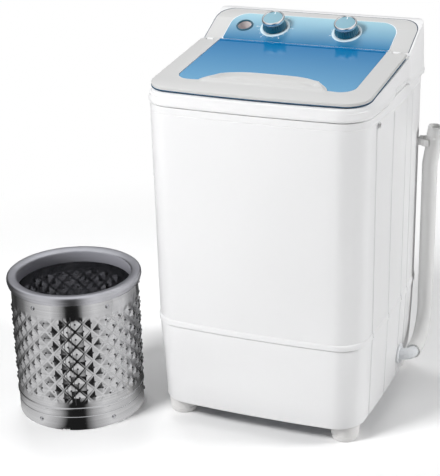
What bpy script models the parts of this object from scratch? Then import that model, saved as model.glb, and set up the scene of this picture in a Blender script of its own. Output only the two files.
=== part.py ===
"""Portable single-tub washing machine, with its spin basket standing beside it.

Lengths are in metres and +Z is up. The machine's front looks along -Y. Pieces are first placed
about the middle of the machine's floor space; the last step moves the whole row so that its
origin is the bottom centre of the machine and basket together.
"""
import math

import bmesh
import bpy
from mathutils import Matrix, Vector

# Fits shared by all pieces
GAP = 0.0003             # between pieces that touch
OVERRUN = 0.020          # how far a cutter runs past what it cuts

# Cabinet and base: outline, levels and walls
HALF_WIDTH = 0.190       # at the seam under the top frame
HALF_DEPTH = 0.190
CORNER_R = 0.044
BOW = 0.007              # how far the corners stand back from the middle of each face
SEAM_Z = 0.5595
BELT_Z = 0.1766          # joint between cabinet and base housing
BELT_H = 0.0104          # raised hem round the cabinet's lower edge
BELT_OUT = 0.0010
BOTTOM_Z = 0.030
BELT_IN = 0.0015         # how far the walls lean in by the belt
BOTTOM_IN = 0.0067       # and by the bottom edge
WALL = 0.0025
NECK_IN = 0.0035         # the cabinet's neck inside the top frame
NECK_H = 0.0065
NECK_WALL = 0.0025
NECK_PLAY = 0.0010
TONGUE_H = 0.010         # the base housing's tongue inside the cabinet
TONGUE_WALL = 0.0025
LEDGE_W = 0.006
LEDGE_T = 0.003
BOTTOM_EDGE = 0.002

# Ribs pressed into both side walls
GROOVE_PLACE_SHARES = (-0.822, -0.247, 0.295, 0.575)   # of the flat part of the side
GROOVE_YS = tuple((HALF_DEPTH - CORNER_R) * share for share in GROOVE_PLACE_SHARES)
GROOVE_W = 0.0070
GROOVE_DEPTH = 0.0030
GROOVE_DROP = 0.0225
GROOVE_TOP_Z = SEAM_Z - GROOVE_DROP
GROOVE_FADE = 0.005

# Floor plate, feet and motor posts
PLATE_T = 0.003
FOOT_SIDE = 0.042
FOOT_X = HALF_WIDTH - FOOT_SIDE
FOOT_END = 0.048
FOOT_Y = HALF_DEPTH - FOOT_END
FOOT_TOP_R = 0.025
FOOT_BOTTOM_R = 0.022
FOOT_EDGE = 0.004
FOOT_NECK_R = 0.020
POST_R = 0.006
POST_X = 0.062
POST_Y = 0.050

# Wash tub
TUB_Y = -0.004
TUB_ROOM = 0.018         # between the tub and the seam's outline
TUB_R = min(HALF_WIDTH, HALF_DEPTH) - TUB_ROOM
TUB_WALL = 0.0025
TUB_FLOOR_Z = 0.195
TUB_ROUND = 0.012
FLANGE_T = 0.0025
FLANGE_IN = 0.0040

# Top frame: deck, mouth, console shelf
FRAME_LIP_OUT = 0.0020
FRAME_LIP_FOOT = 0.0014
FRAME_LIP_H = 0.0065
FRAME_SHOULDER_H = 0.0145
FRAME_IN = 0.0035
FRAME_EDGE = 0.0020
FRAME_WALL = 0.0030
FRAME_LEDGE_W = 0.0065
DECK_SETBACK = 0.012
DECK_RISE = 0.020
DECK_SLOPE = 0.110
DECK_FRONT_Y = DECK_SETBACK - HALF_DEPTH
DECK_FRONT_Z = SEAM_Z + DECK_RISE
CONSOLE_DEPTH = 0.1215   # from the console's lower edge to the rear
CONSOLE_STEP = 0.0015
CONSOLE_LIFT = 0.004685  # of the console's lower edge over the deck
CONSOLE_RISE = 0.0319
CONSOLE_BACK = 0.053     # from the console's upper edge to the rear
CONSOLE_Y = HALF_DEPTH - CONSOLE_DEPTH
CONSOLE_Z = DECK_FRONT_Z + DECK_SLOPE * (CONSOLE_Y - DECK_FRONT_Y) + CONSOLE_LIFT
CONSOLE_TOP_Y = HALF_DEPTH - CONSOLE_BACK
CONSOLE_TOP_Z = CONSOLE_Z + CONSOLE_RISE
SHELF_T = 0.0027
CROWN_BACKS = (0.040, 0.032, 0.022, 0.013, 0.007, -0.001)
CROWN_RISES = (0.0048, 0.0063, 0.0048, -0.0012, -0.0092, -0.0272)
CROWN_YS = tuple(HALF_DEPTH - back for back in CROWN_BACKS)
CROWN_ZS = tuple(CONSOLE_TOP_Z + rise for rise in CROWN_RISES)
MOUTH_MARGIN = 0.00625   # between the mouth and both ends of the deck
MOUTH_SHIFT = 0.00125
MOUTH_PLAY = 0.0005      # of the mouth inside the tub's wall
MOUTH_Y = (CONSOLE_Y + DECK_FRONT_Y) / 2.0 - MOUTH_SHIFT
MOUTH_R = min((CONSOLE_Y - DECK_FRONT_Y) / 2.0 - MOUTH_MARGIN,
              TUB_R - TUB_WALL - MOUTH_PLAY + MOUTH_Y - TUB_Y)
SKIRT_WALL = 0.0025

# Console cover and what it carries, measured along the slope from its front edge
BEZEL_T = 0.0030
BEZEL_SIDE = 0.0075
BEZEL_HALF = HALF_WIDTH - BEZEL_SIDE
BEZEL_REAR_Y = CROWN_YS[0]
BEZEL_R = 0.030
OVERLAY_T = 0.0010
OVERLAY_SIDE = 0.0335
OVERLAY_HALF = BEZEL_HALF - OVERLAY_SIDE
OVERLAY_EDGE = 0.0010
OVERLAY_LENGTH = math.hypot(CONSOLE_TOP_Y - CONSOLE_Y, CONSOLE_RISE) - OVERLAY_EDGE
OVERLAY_R = 0.030
KNOB_SIDE = 0.084
KNOB_X = OVERLAY_HALF - KNOB_SIDE
KNOB_V = 0.040
RING_R = 0.026
RING_T = 0.0015
KNOB_BASE_R = 0.0212
KNOB_TOP_R = 0.0193
KNOB_H = 0.0200
KNOB_BEVEL = 0.0012
KNOB_FLUTE = 0.0009
TRIM_R = 0.0172
TRIM_T = 0.0018
TRIM_SINK = 0.0016
KNOB_SHAFT_R = 0.0030
SHAFT_IN_KNOB = 0.012
SHAFT_HOLE_R = 0.0060
INLET_SIDE = 0.028
INLET_X = INLET_SIDE - OVERLAY_HALF
INLET_R = 0.0120
INLET_WALL = 0.0020
INLET_LIP_R = 0.0150
INLET_LENGTH = 0.030
TIMER_W = 0.050
TIMER_D = 0.042
TIMER_H = 0.028
SELECTOR_W = 0.034
SELECTOR_D = 0.030
SELECTOR_H = 0.020

# Lid
LID_SIDE = 0.006
LID_HALF = HALF_WIDTH - LID_SIDE
LID_CORNER_R = 0.036
LID_REAR_R = 0.006
LID_BACK = 0.0075         # from the lid's rear edge to the console
LID_LENGTH = (CONSOLE_Y - DECK_FRONT_Y) * math.hypot(1.0, DECK_SLOPE) - LID_BACK
PANEL_T = 0.0022
PANEL_LIFT = 0.0006
LID_T = 0.0052
LID_BEVEL = 0.0018
WINDOW_SIDE = 0.034
WINDOW_HALF = LID_HALF - WINDOW_SIDE
WINDOW_FRONT = 0.0480
WINDOW_BACK = 0.0045
WINDOW_REAR = LID_LENGTH - WINDOW_BACK
WINDOW_R = 0.025
GRIP_SIDE = 0.042
GRIP_SPREAD = 0.030
GRIP_HALF = WINDOW_HALF - GRIP_SIDE
GRIP_TOP_HALF = GRIP_HALF - GRIP_SPREAD
GRIP_LENGTH = 0.050
GRIP_RISE = 0.006
SCOOP_END = 0.008
SCOOP_X = GRIP_TOP_HALF - SCOOP_END
SCOOP_Y = 0.0170
SCOOP_Z = 0.0030
SCOOP_V = 0.0760
HINGE_SIDE = 0.018
HINGE_X = LID_HALF - HINGE_SIDE
LID_BOW = 0.007
HINGE_BACK = 0.0030      # hinge axis forward of the lid's rear edge
HINGE_LIFT = 0.0062      # and above the deck
LUG_W = 0.012
LUG_HALF = 0.0035
LUG_ROOM = 0.0010
PANEL_BACK = 0.0090
PIN_R = 0.0015
PIN_L = 0.017

# Drive train
DRIVE_Y = MOUTH_Y
SHAFT_R = 0.006
SHAFT_BOTTOM_Z = 0.0400
SHAFT_TOP_Z = 0.2270
NECK_R = 0.0195
BORE_R = 0.0160
HOUSING_R = 0.034
HOUSING_FLANGE_R = 0.046
HOUSING_FLANGE_T = 0.006
HOUSING_BOTTOM_Z = 0.110
NECK_RISE = 0.0075
BEARING_H = 0.010
LOWER_BEARING_Z = 0.1130
UPPER_BEARING_Z = 0.1650
SEAL_Z = 0.1880
SEAL_H = 0.012
PULLEY_Z = 0.0480
PULLEY_H = 0.016
PULLEY_R = 0.065
PULLEY_GROOVE = 0.006
MOTOR_BACK = 0.102
MOTOR_Y = HALF_DEPTH - MOTOR_BACK
MOTOR_PULLEY_R = 0.017
MOTOR_R = 0.052
MOTOR_H = 0.068
MOTOR_CAP = 0.0054
MOTOR_CORE_R = 0.0312
MOTOR_SHAFT_R = 0.005
MOTOR_BORE_R = 0.012
BRACKET_Z = 0.0760
BRACKET_T = 0.0030
BRACKET_MARGIN = 0.008
BELT_W = 0.009
BELT_T = 0.005
NUT_R = 0.009
NUT_H = 0.006
CAPACITOR_R = 0.018
CAPACITOR_H = 0.060
CAPACITOR_SIDE = 0.085
CAPACITOR_X = CAPACITOR_SIDE - HALF_WIDTH
CAPACITOR_BACK = 0.090
CAPACITOR_Y = HALF_DEPTH - CAPACITOR_BACK
PULSATOR_PLAY = 0.009
PULSATOR_R = MOUTH_R - PULSATOR_PLAY
PULSATOR_Z = 0.2055
PULSATOR_H = 0.014
PULSATOR_RIDGE = 0.012
PULSATOR_WALL = 0.0030
PULSATOR_HUB_R = 0.018
PULSATOR_FLARE_R = 0.0198
PULSATOR_TOP_R = 0.0144
PULSATOR_EDGE_SHARE = 0.15
PULSATOR_HUB_SHARE = 0.40
PULSATOR_ROW_SHARES = ((0.70, 0.60, 0.80), (0.42, 0.80, 1.00))   # radius, height, ridge
RIDGES = 4
SCREW_HEAD_R = 0.0095
SCREW_HEAD_H = 0.0040
SCREW_R = 0.0025
SCREW_L = 0.0080

# Drain: port in the tub floor, valve in the rear right corner, outlet and hose on the side
DRAIN_ANGLE = 49.35
DRAIN_EDGE = 0.0415      # from the port's centre to the tub's wall
DRAIN_X = (TUB_R - DRAIN_EDGE) * math.cos(math.radians(DRAIN_ANGLE))
DRAIN_Y = (TUB_R - DRAIN_EDGE) * math.sin(math.radians(DRAIN_ANGLE)) + TUB_Y
DRAIN_R = 0.012
VALVE_SIDE = 0.078
VALVE_X = HALF_WIDTH - VALVE_SIDE
VALVE_BACK = 0.048
VALVE_Y = HALF_DEPTH - VALVE_BACK
VALVE_R = 0.020
VALVE_TOP_Z = 0.1150
VALVE_IN_Z = 0.0980
VALVE_WALL = 0.003
ROD_R = 0.0025
ROD_RISE = 0.0425
ROD_TOP_Z = SEAM_Z + ROD_RISE
ROD_HEAD_R = 0.006
ROD_HEAD_T = 0.002
ROD_HOLE_R = 0.008
PLUNGER_R = 0.015
PLUNGER_H = 0.008
SPRING_R = 0.0080
SPRING_WIRE = 0.0011
SPRING_TURNS = 5
CRANK_W = 0.008
CRANK_T = 0.003
CRANK_PLAY = 0.002
CRANK_L = VALVE_X - KNOB_X - CRANK_PLAY
HOSE_R = 0.0135
HOSE_BORE_R = 0.0113
HOSE_OUT = 0.0165
HOSE_X = HALF_WIDTH + HOSE_OUT
HOSE_BACK = 0.045
HOSE_Y = HALF_DEPTH - HOSE_BACK
HOSE_DROP = 0.0935
HOSE_TOP_Z = SEAM_Z - HOSE_DROP
HOSE_TOP_LEAN = 0.010
HOSE_LEAN_DROP = 0.066
HOSE_LEAN_Z = HOSE_TOP_Z - HOSE_LEAN_DROP
HOSE_BEND = 0.060
HOSE_Z = 0.0700
HOSE_END_BACK = 0.120
HOSE_END_Y = HALF_DEPTH - HOSE_END_BACK
CUFF_R = 0.0150
CUFF_L = 0.022
OUTLET_R = 0.0105
OUTLET_BORE_R = 0.0085
OUTLET_FLANGE_R = 0.018
OUTLET_FLANGE_T = 0.003
OUTLET_IN_HOSE = 0.018
ELBOW_REACH = 0.018
ELBOW_BEND_STEPS = 5
OUTLET_SIDE = 0.035
OUTLET_INSIDE_X = HALF_WIDTH - OUTLET_SIDE
CLIP_DROP = 0.026
CLIP_Z = HOSE_TOP_Z - CLIP_DROP
CLIP_H = 0.012
CLIP_T = 0.003
CLIP_FOOT_HALF = 0.01008

# Rear
COVER_SIDE = 0.070
COVER_HALF = HALF_WIDTH - COVER_SIDE
COVER_RISE = 0.030
COVER_Z0 = BOTTOM_Z + COVER_RISE
COVER_DROP = 0.0166
COVER_Z1 = BELT_Z - COVER_DROP
COVER_T = 0.0020
COVER_R = 0.012
COVER_SCREW_R = 0.0035
COVER_SCREW_T = 0.0018
GLAND_OUT = 0.020         # from the rear cover's end
GLAND_X = -COVER_HALF - GLAND_OUT
GLAND_Z = 0.100
GLAND_R = 0.008
GLAND_L = 0.018
GLAND_FLANGE_R = 0.012
GLAND_FLANGE_T = 0.003
GLAND_TIP_R = 0.0055
GLAND_BORE_R = 0.0035
GLAND_SEAT = 0.0015

# Spin basket
RIM_PLAY = 0.0020        # as it passes through the machine's mouth
RIM_R = MOUTH_R - RIM_PLAY
RIM_W = 0.0185
RIM_IN_R = RIM_R - RIM_W
BASKET_ASIDE = 0.140
BASKET_X = -BASKET_ASIDE - HALF_WIDTH
BASKET_BACK = 0.010
BASKET_Y = BASKET_BACK - HALF_DEPTH
BASKET_H = 0.250
RIM_OUT = 0.0060
BASKET_R = RIM_R - RIM_OUT
BASKET_WALL = 0.0012
BASKET_BAND_H = 0.026
BASKET_BASE_T = 0.004
BASKET_BASE_LIFT = 0.006
BASKET_TONGUE = 0.010
BASKET_HUB_R = 0.020
BASKET_HUB_H = 0.022
RIM_H = 0.024
RIM_SKIRT = 0.010
RIM_ROUND = 0.004
RIDGE_Z = 0.040
RIDGE_H = 0.005
RIDGE_OUT = 0.0012
DIAMOND_COLUMNS = 26
DIAMOND_ROWS = 6
DIAMOND_Z0 = 0.048
DIAMOND_DROP = 0.038
DIAMOND_Z1 = BASKET_H - DIAMOND_DROP
DIAMOND_OUT = 0.0016
DIAMOND_IN = 0.0012
NOTCH_W = 0.016
NOTCH_H = 0.005
NOTCH_ANGLE = -77.0
NOTCH_DEPTH = 0.012

# Counts of steps round curves
ARC_STEPS = 5
ROUND_STEPS = 32
SMALL_STEPS = 14
PIPE_STEPS = 10
TUB_STEPS = 36
FACE_SHARES = (0.0, 0.4, 0.75)
GROOVE_SHARES = ((-0.5, 0.0), (0.0, 1.0), (0.5, 0.0))


def material(name, colour, roughness, metallic=0.0):
    mat = bpy.data.materials.new(name)
    mat.use_nodes = True
    shader = mat.node_tree.nodes["Principled BSDF"]
    shader.inputs["Base Color"].default_value = (*colour, 1.0)
    shader.inputs["Roughness"].default_value = roughness
    shader.inputs["Metallic"].default_value = metallic
    return mat


def finish(name, verts, faces, mat, matrix=None, sharp=35):
    """Makes a closed mesh object under the row's empty, with faces pointing out."""
    mesh = bpy.data.meshes.new(name)
    mesh.from_pydata([Vector(v) for v in verts], [], faces)
    bm = bmesh.new()
    bm.from_mesh(mesh)
    bmesh.ops.recalc_face_normals(bm, faces=bm.faces)
    bm.to_mesh(mesh)
    bm.free()
    mesh.materials.append(mat)
    mesh.shade_smooth()
    mesh.set_sharp_from_angle(angle=math.radians(sharp))
    obj = bpy.data.objects.new(name, mesh)
    bpy.context.collection.objects.link(obj)
    obj.parent = ROW
    if matrix is not None:
        obj.matrix_local = matrix
    return obj


def boolean(obj, cutter, operation="DIFFERENCE"):
    """Cuts or joins with a guide object that stays hidden."""
    cutter.hide_render = True
    cutter.display_type = "WIRE"
    mod = obj.modifiers.new(cutter.name, "BOOLEAN")
    mod.operation = operation
    mod.solver = "EXACT"
    mod.object = cutter
    return obj


def applied(obj):
    """Swaps the object's mesh for its evaluated one, and removes the guides it used."""
    guides = [m.object for m in obj.modifiers if m.type == "BOOLEAN"]
    bpy.context.view_layer.update()
    graph = bpy.context.evaluated_depsgraph_get()
    mesh = bpy.data.meshes.new_from_object(obj.evaluated_get(graph))
    obj.modifiers.clear()
    obj.data = mesh
    for guide in guides:
        bpy.data.objects.remove(guide)
    return obj


def half_outline(half_w, half_d, radius, bow=0.0, side=((0.0, 0.0),)):
    """Right half of a bowed, rounded rectangle, from the front's middle to the rear's."""
    points = [((half_w - radius) * s, -half_d) for s in FACE_SHARES]
    turn = [math.radians(90.0 * i / ARC_STEPS) for i in range(ARC_STEPS + 1)]
    points += [(half_w - radius + radius * math.sin(t), radius - half_d - radius * math.cos(t)) for t in turn]
    points += [(half_w - depth, y) for y, depth in side]
    points += [(half_w - radius + radius * math.cos(t), half_d - radius + radius * math.sin(t)) for t in turn]
    points += [((half_w - radius) * s, half_d) for s in reversed(FACE_SHARES)]
    return [(x - bow * x / half_w * (y / half_d) ** 2, y - bow * y / half_d * (x / half_w) ** 2)
            for x, y in points]


def mirrored(half):
    return half + [(-x, y) for x, y in reversed(half[1:-1])]


def lifted(points, height):
    """Puts plan points at a height, which may be a function of y."""
    return [(x, y, height(y) if callable(height) else height) for x, y in points]


def strip_cap(ring, base):
    """Faces across a mirrored ring, from its front to its rear, each between two depths."""
    count = len(ring)
    half = count // 2
    ys = [p[1] for p in ring]
    faces = []
    start = 0
    for j in range(1, half + 1):
        flat = abs(ys[j] - ys[start]) < GAP / 10.0 or abs(ys[j] - ys[half]) < GAP / 10.0
        if flat and j < half:
            continue
        right = list(range(start, j + 1))
        left = [(count - v) % count for v in reversed(right)]
        faces.append(tuple(base + v for v in dict.fromkeys(right + left)))
        start = j
    return faces


def loft(rings, closed=True, flat=False):
    """Skins rings of equal count. Closed joins the last to the first; otherwise both ends are capped."""
    count = len(rings[0])
    verts = [p for ring in rings for p in ring]
    faces = []
    for i in range(len(rings) if closed else len(rings) - 1):
        low = i * count
        high = ((i + 1) % len(rings)) * count
        for j in range(count):
            k = (j + 1) % count
            faces.append((low + j, low + k, high + k, high + j))
    if closed:
        return verts, faces
    last = (len(rings) - 1) * count
    if flat:
        return verts, faces + [tuple(range(count)), tuple(range(last, last + count))]
    return verts, faces + strip_cap(rings[0], 0) + strip_cap(rings[-1], last)


def turned(profile, steps=ROUND_STEPS, flute=0.0, fluted=()):
    """Turns (radius, height) points about Z. Points on the axis end it; otherwise it closes."""
    verts = []
    rows = []
    for i, (radius, z) in enumerate(profile):
        if radius == 0.0:
            rows.append([len(verts)])
            verts.append((0.0, 0.0, z))
            continue
        rows.append(list(range(len(verts), len(verts) + steps)))
        for j in range(steps):
            r = radius - flute * (j % 2) * (i in fluted)
            a = 2.0 * math.pi * j / steps
            verts.append((r * math.cos(a), r * math.sin(a), z))
    faces = []
    pairs = list(zip(rows, rows[1:]))
    if profile[0][0] != 0.0:
        pairs.append((rows[-1], rows[0]))
    for low, high in pairs:
        for j in range(steps):
            k = (j + 1) % steps
            quad = [low[j % len(low)], low[k % len(low)], high[k % len(high)], high[j % len(high)]]
            face = tuple(dict.fromkeys(quad))
            if len(face) > 2:
                faces.append(face)
    return verts, faces


def prism(points, z0, z1):
    """A straight prism on any plan outline."""
    count = len(points)
    verts = [(x, y, z0) for x, y in points] + [(x, y, z1) for x, y in points]
    faces = [(i, (i + 1) % count, count + (i + 1) % count, count + i) for i in range(count)]
    faces += [tuple(reversed(range(count))), tuple(range(count, 2 * count))]
    return verts, faces


def block(size, centre):
    x, y, z = (s / 2.0 for s in size)
    cx, cy, cz = centre
    plan = [(cx - x, cy - y), (cx + x, cy - y), (cx + x, cy + y), (cx - x, cy + y)]
    return prism(plan, cz - z, cz + z)


def swept(points, rings, bore=0.0, steps=SMALL_STEPS):
    """A tube along points with a radius at each; with a bore it is open at both ends."""
    path = [Vector(p) for p in points]
    frames = []
    side = None
    for i, p in enumerate(path):
        ahead = (path[min(i + 1, len(path) - 1)] - path[max(i - 1, 0)]).normalized()
        if side is None:
            side = ahead.orthogonal().normalized()
        side = (side - ahead * side.dot(ahead)).normalized()
        frames.append((p, side, ahead.cross(side)))
    outer = []
    inner = []
    for (p, u, v), radius in zip(frames, rings):
        turn = [2.0 * math.pi * j / steps for j in range(steps)]
        outer.append([p + (u * math.cos(t) + v * math.sin(t)) * radius for t in turn])
        inner.append([p + (u * math.cos(t) + v * math.sin(t)) * bore for t in turn])
    if bore:
        return loft(outer + inner[::-1], closed=True)
    return loft(outer, closed=False, flat=True)


def at(x, y, z=0.0):
    return Matrix.Translation((x, y, z))


def along(start, direction):
    """A frame at start whose Z looks along direction."""
    return at(*start) @ Vector(direction).to_track_quat("Z", "Y").to_matrix().to_4x4()


def lean(z):
    """How far the walls stand in from the seam's outline at a height."""
    if z >= BELT_Z:
        return BELT_IN * (SEAM_Z - z) / (SEAM_Z - BELT_Z)
    return BELT_IN + (BOTTOM_IN - BELT_IN) * (BELT_Z - z) / (BELT_Z - BOTTOM_Z)


def grooves(depth):
    straighten = 1.0 / (1.0 - BOW / HALF_DEPTH)
    return [((y + share * GROOVE_W) * straighten, pressed * depth)
            for y in GROOVE_YS for share, pressed in GROOVE_SHARES]


def body_ring(z, inset=0.0, depth=GROOVE_DEPTH):
    """The machine's outline at a height, with the ribs in its sides pressed in by depth."""
    back = lean(z) + inset
    half = half_outline(HALF_WIDTH - back, HALF_DEPTH - back, CORNER_R - inset, BOW, grooves(depth))
    return lifted(mirrored(half), z)


def make_cabinet():
    top = SEAM_Z - GAP
    fade = GROOVE_TOP_Z + GROOVE_FADE
    hem = BELT_Z + BELT_H
    rings = [body_ring(BELT_Z, -BELT_OUT), body_ring(hem, -BELT_OUT), body_ring(hem, 0.0),
             body_ring(GROOVE_TOP_Z), body_ring(fade, depth=0.0), body_ring(top, depth=0.0),
             body_ring(top, NECK_IN, 0.0), body_ring(SEAM_Z + NECK_H, NECK_IN, 0.0),
             body_ring(SEAM_Z + NECK_H, NECK_IN + NECK_WALL, 0.0),
             body_ring(fade, NECK_IN + NECK_WALL, 0.0), body_ring(GROOVE_TOP_Z, WALL),
             body_ring(BELT_Z, WALL)]
    return finish("cabinet", *loft(rings), WHITE)


def make_base_housing():
    top = BELT_Z - GAP
    step = WALL + GAP
    inner = step + TONGUE_WALL
    rings = [body_ring(BOTTOM_Z, BOTTOM_EDGE), body_ring(BOTTOM_Z + BOTTOM_EDGE), body_ring(top),
             body_ring(top, step), body_ring(top + TONGUE_H, step), body_ring(top + TONGUE_H, inner),
             body_ring(top - TONGUE_H, inner), body_ring(top - 2.0 * TONGUE_H, WALL),
             body_ring(LEDGE_Z + LEDGE_T, WALL), body_ring(LEDGE_Z + LEDGE_T, WALL + LEDGE_W),
             body_ring(LEDGE_Z, WALL + LEDGE_W), body_ring(LEDGE_Z, WALL), body_ring(BOTTOM_Z, WALL)]
    housing = finish("base_housing", *loft(rings), WHITE)
    outlet = finish("outlet_hole", *turned([(0.0, -OVERRUN), (OUTLET_R + GAP, -OVERRUN),
                                            (OUTLET_R + GAP, OVERRUN), (0.0, OVERRUN)], SMALL_STEPS),
                    WHITE, along((side_x(HOSE_Z), HOSE_END_Y - ELBOW_REACH, HOSE_Z), (1.0, 0.0, 0.0)))
    gland = finish("gland_hole", *turned([(0.0, -OVERRUN), (GLAND_R + GAP, -OVERRUN),
                                          (GLAND_R + GAP, OVERRUN), (0.0, OVERRUN)], SMALL_STEPS),
                   WHITE, along((GLAND_X, rear_y(GLAND_X, GLAND_Z), GLAND_Z), (0.0, 1.0, 0.0)))
    return applied(boolean(boolean(housing, outlet), gland))


def make_base_plate():
    rings = [body_ring(BOTTOM_Z, WALL + GAP), body_ring(BOTTOM_Z + PLATE_T, WALL + GAP)]
    plate = finish("base_plate", *loft(rings, closed=False), STEEL_GREY)
    profile = [(0.0, BOTTOM_Z + GAP), (POST_R, BOTTOM_Z + GAP), (POST_R, BRACKET_Z - GAP),
               (0.0, BRACKET_Z - GAP)]
    for i, (sx, sy) in enumerate(((-1, -1), (1, -1), (1, 1), (-1, 1))):
        post = finish("post_guide_%d" % i, *turned(profile, SMALL_STEPS), STEEL_GREY,
                      at(sx * POST_X, MOTOR_Y + sy * POST_Y))
        boolean(plate, post, "UNION")
    return applied(plate)


def make_feet():
    top = BOTTOM_Z - GAP
    profile = [(0.0, 0.0), (FOOT_BOTTOM_R - FOOT_EDGE, 0.0), (FOOT_BOTTOM_R, FOOT_EDGE),
               (FOOT_TOP_R, top - FOOT_EDGE), (FOOT_NECK_R, top), (0.0, top)]
    for i, (sx, sy) in enumerate(((-1, -1), (1, -1), (1, 1), (-1, 1))):
        finish("foot_%d" % (i + 1), *turned(profile, SMALL_STEPS + 4), FOOT_GREY,
               at(sx * FOOT_X, sy * FOOT_Y))


def circle(radius, cy, z):
    turn = [2.0 * math.pi * j / TUB_STEPS for j in range(TUB_STEPS)]
    return [(radius * math.cos(t), cy + radius * math.sin(t), z) for t in turn]


def flange_ring(z):
    """The tub's flange: a bowed, rounded square with one point for each point of the tub's circles."""
    wide = HALF_WIDTH - FLANGE_IN
    deep = HALF_DEPTH - FLANGE_IN
    radius = CORNER_R - FLANGE_IN
    ring = []
    for j in range(TUB_STEPS):
        t = 2.0 * math.pi * j / TUB_STEPS
        ray = Vector((math.cos(t), math.sin(t)))
        point = ray / max(abs(ray.x) / wide, abs(ray.y) / deep)
        if abs(point.x) > wide - radius and abs(point.y) > deep - radius:
            centre = Vector((math.copysign(wide - radius, ray.x), math.copysign(deep - radius, ray.y)))
            reach = ray.dot(centre)
            point = ray * (reach + math.sqrt(reach ** 2 - centre.length_squared + radius ** 2))
        x, y = point
        ring.append((x - BOW * x / wide * (y / deep) ** 2, y - BOW * y / deep * (x / wide) ** 2, z))
    return ring


def make_tub():
    seat = SEAM_Z + NECK_H + GAP
    bore = NECK_R + GAP
    inner = TUB_R - TUB_WALL
    floor = TUB_FLOOR_Z + TUB_WALL
    rounded = TUB_ROUND - TUB_WALL
    soft_share = 0.3

    rings = [circle(bore, DRIVE_Y, TUB_FLOOR_Z), circle(TUB_R - TUB_ROUND, TUB_Y, TUB_FLOOR_Z),
             circle(TUB_R - TUB_ROUND * soft_share, TUB_Y, TUB_FLOOR_Z + TUB_ROUND * soft_share),
             circle(TUB_R, TUB_Y, TUB_FLOOR_Z + TUB_ROUND), circle(TUB_R, TUB_Y, seat), flange_ring(seat),
             flange_ring(seat + FLANGE_T), circle(inner, TUB_Y, seat + FLANGE_T),
             circle(inner, TUB_Y, floor + rounded),
             circle(inner - rounded * soft_share, TUB_Y, floor + rounded * soft_share),
             circle(inner - rounded, TUB_Y, floor), circle(bore, DRIVE_Y, floor)]
    tub = finish("wash_tub", *loft(rings), TUB_WHITE)
    drain = finish("drain_hole", *turned([(0.0, -OVERRUN), (DRAIN_R, -OVERRUN), (DRAIN_R, OVERRUN),
                                          (0.0, OVERRUN)], SMALL_STEPS), TUB_WHITE,
                   at(DRAIN_X, DRAIN_Y, TUB_FLOOR_Z))
    rod = finish("rod_hole", *turned([(0.0, -FLANGE_T), (ROD_HOLE_R, -FLANGE_T),
                                      (ROD_HOLE_R, 2.0 * FLANGE_T), (0.0, 2.0 * FLANGE_T)], SMALL_STEPS),
                 TUB_WHITE, at(VALVE_X, VALVE_Y, seat))
    return applied(boolean(boolean(tub, drain), rod))


def side_x(z):
    """Half width of the body at a height."""
    return HALF_WIDTH - lean(z)


def top_z(y):
    """Height of the top frame along its depth: deck, console slope, then the crown and rear."""
    if y < CONSOLE_Y - CONSOLE_STEP + GAP:
        return DECK_FRONT_Z + DECK_SLOPE * (y - DECK_FRONT_Y)
    ys = (CONSOLE_Y, CONSOLE_TOP_Y) + CROWN_YS
    zs = (CONSOLE_Z, CONSOLE_TOP_Z) + CROWN_ZS
    for i in range(len(ys) - 1):
        if y <= ys[i + 1]:
            return zs[i] + (zs[i + 1] - zs[i]) * (y - ys[i]) / (ys[i + 1] - ys[i])
    return zs[-1]


FRAME_SIDE_SHARES = (-0.55, 0.07)   # breaks along the flat side ahead of the console
FRAME_BREAKS = [(HALF_DEPTH - CORNER_R) * share for share in FRAME_SIDE_SHARES]
FRAME_BREAKS += [CONSOLE_Y - CONSOLE_STEP, CONSOLE_Y, (CONSOLE_Y + CONSOLE_TOP_Y) / 2.0, CONSOLE_TOP_Y]
FRAME_SIDE = [(y, 0.0) for y in FRAME_BREAKS]


def frame_ring(inset, height):
    half = half_outline(HALF_WIDTH - inset, HALF_DEPTH - inset, CORNER_R - inset, 0.0, FRAME_SIDE)
    bowed = [(x - BOW * (x / HALF_WIDTH) * (y / HALF_DEPTH) ** 2 * (y < 0.0),
              y - BOW * (y / HALF_DEPTH) * (x / HALF_WIDTH) ** 2 * (abs(y) > HALF_DEPTH - CORNER_R))
             for x, y in half]
    return lifted(mirrored(bowed), height)


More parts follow.
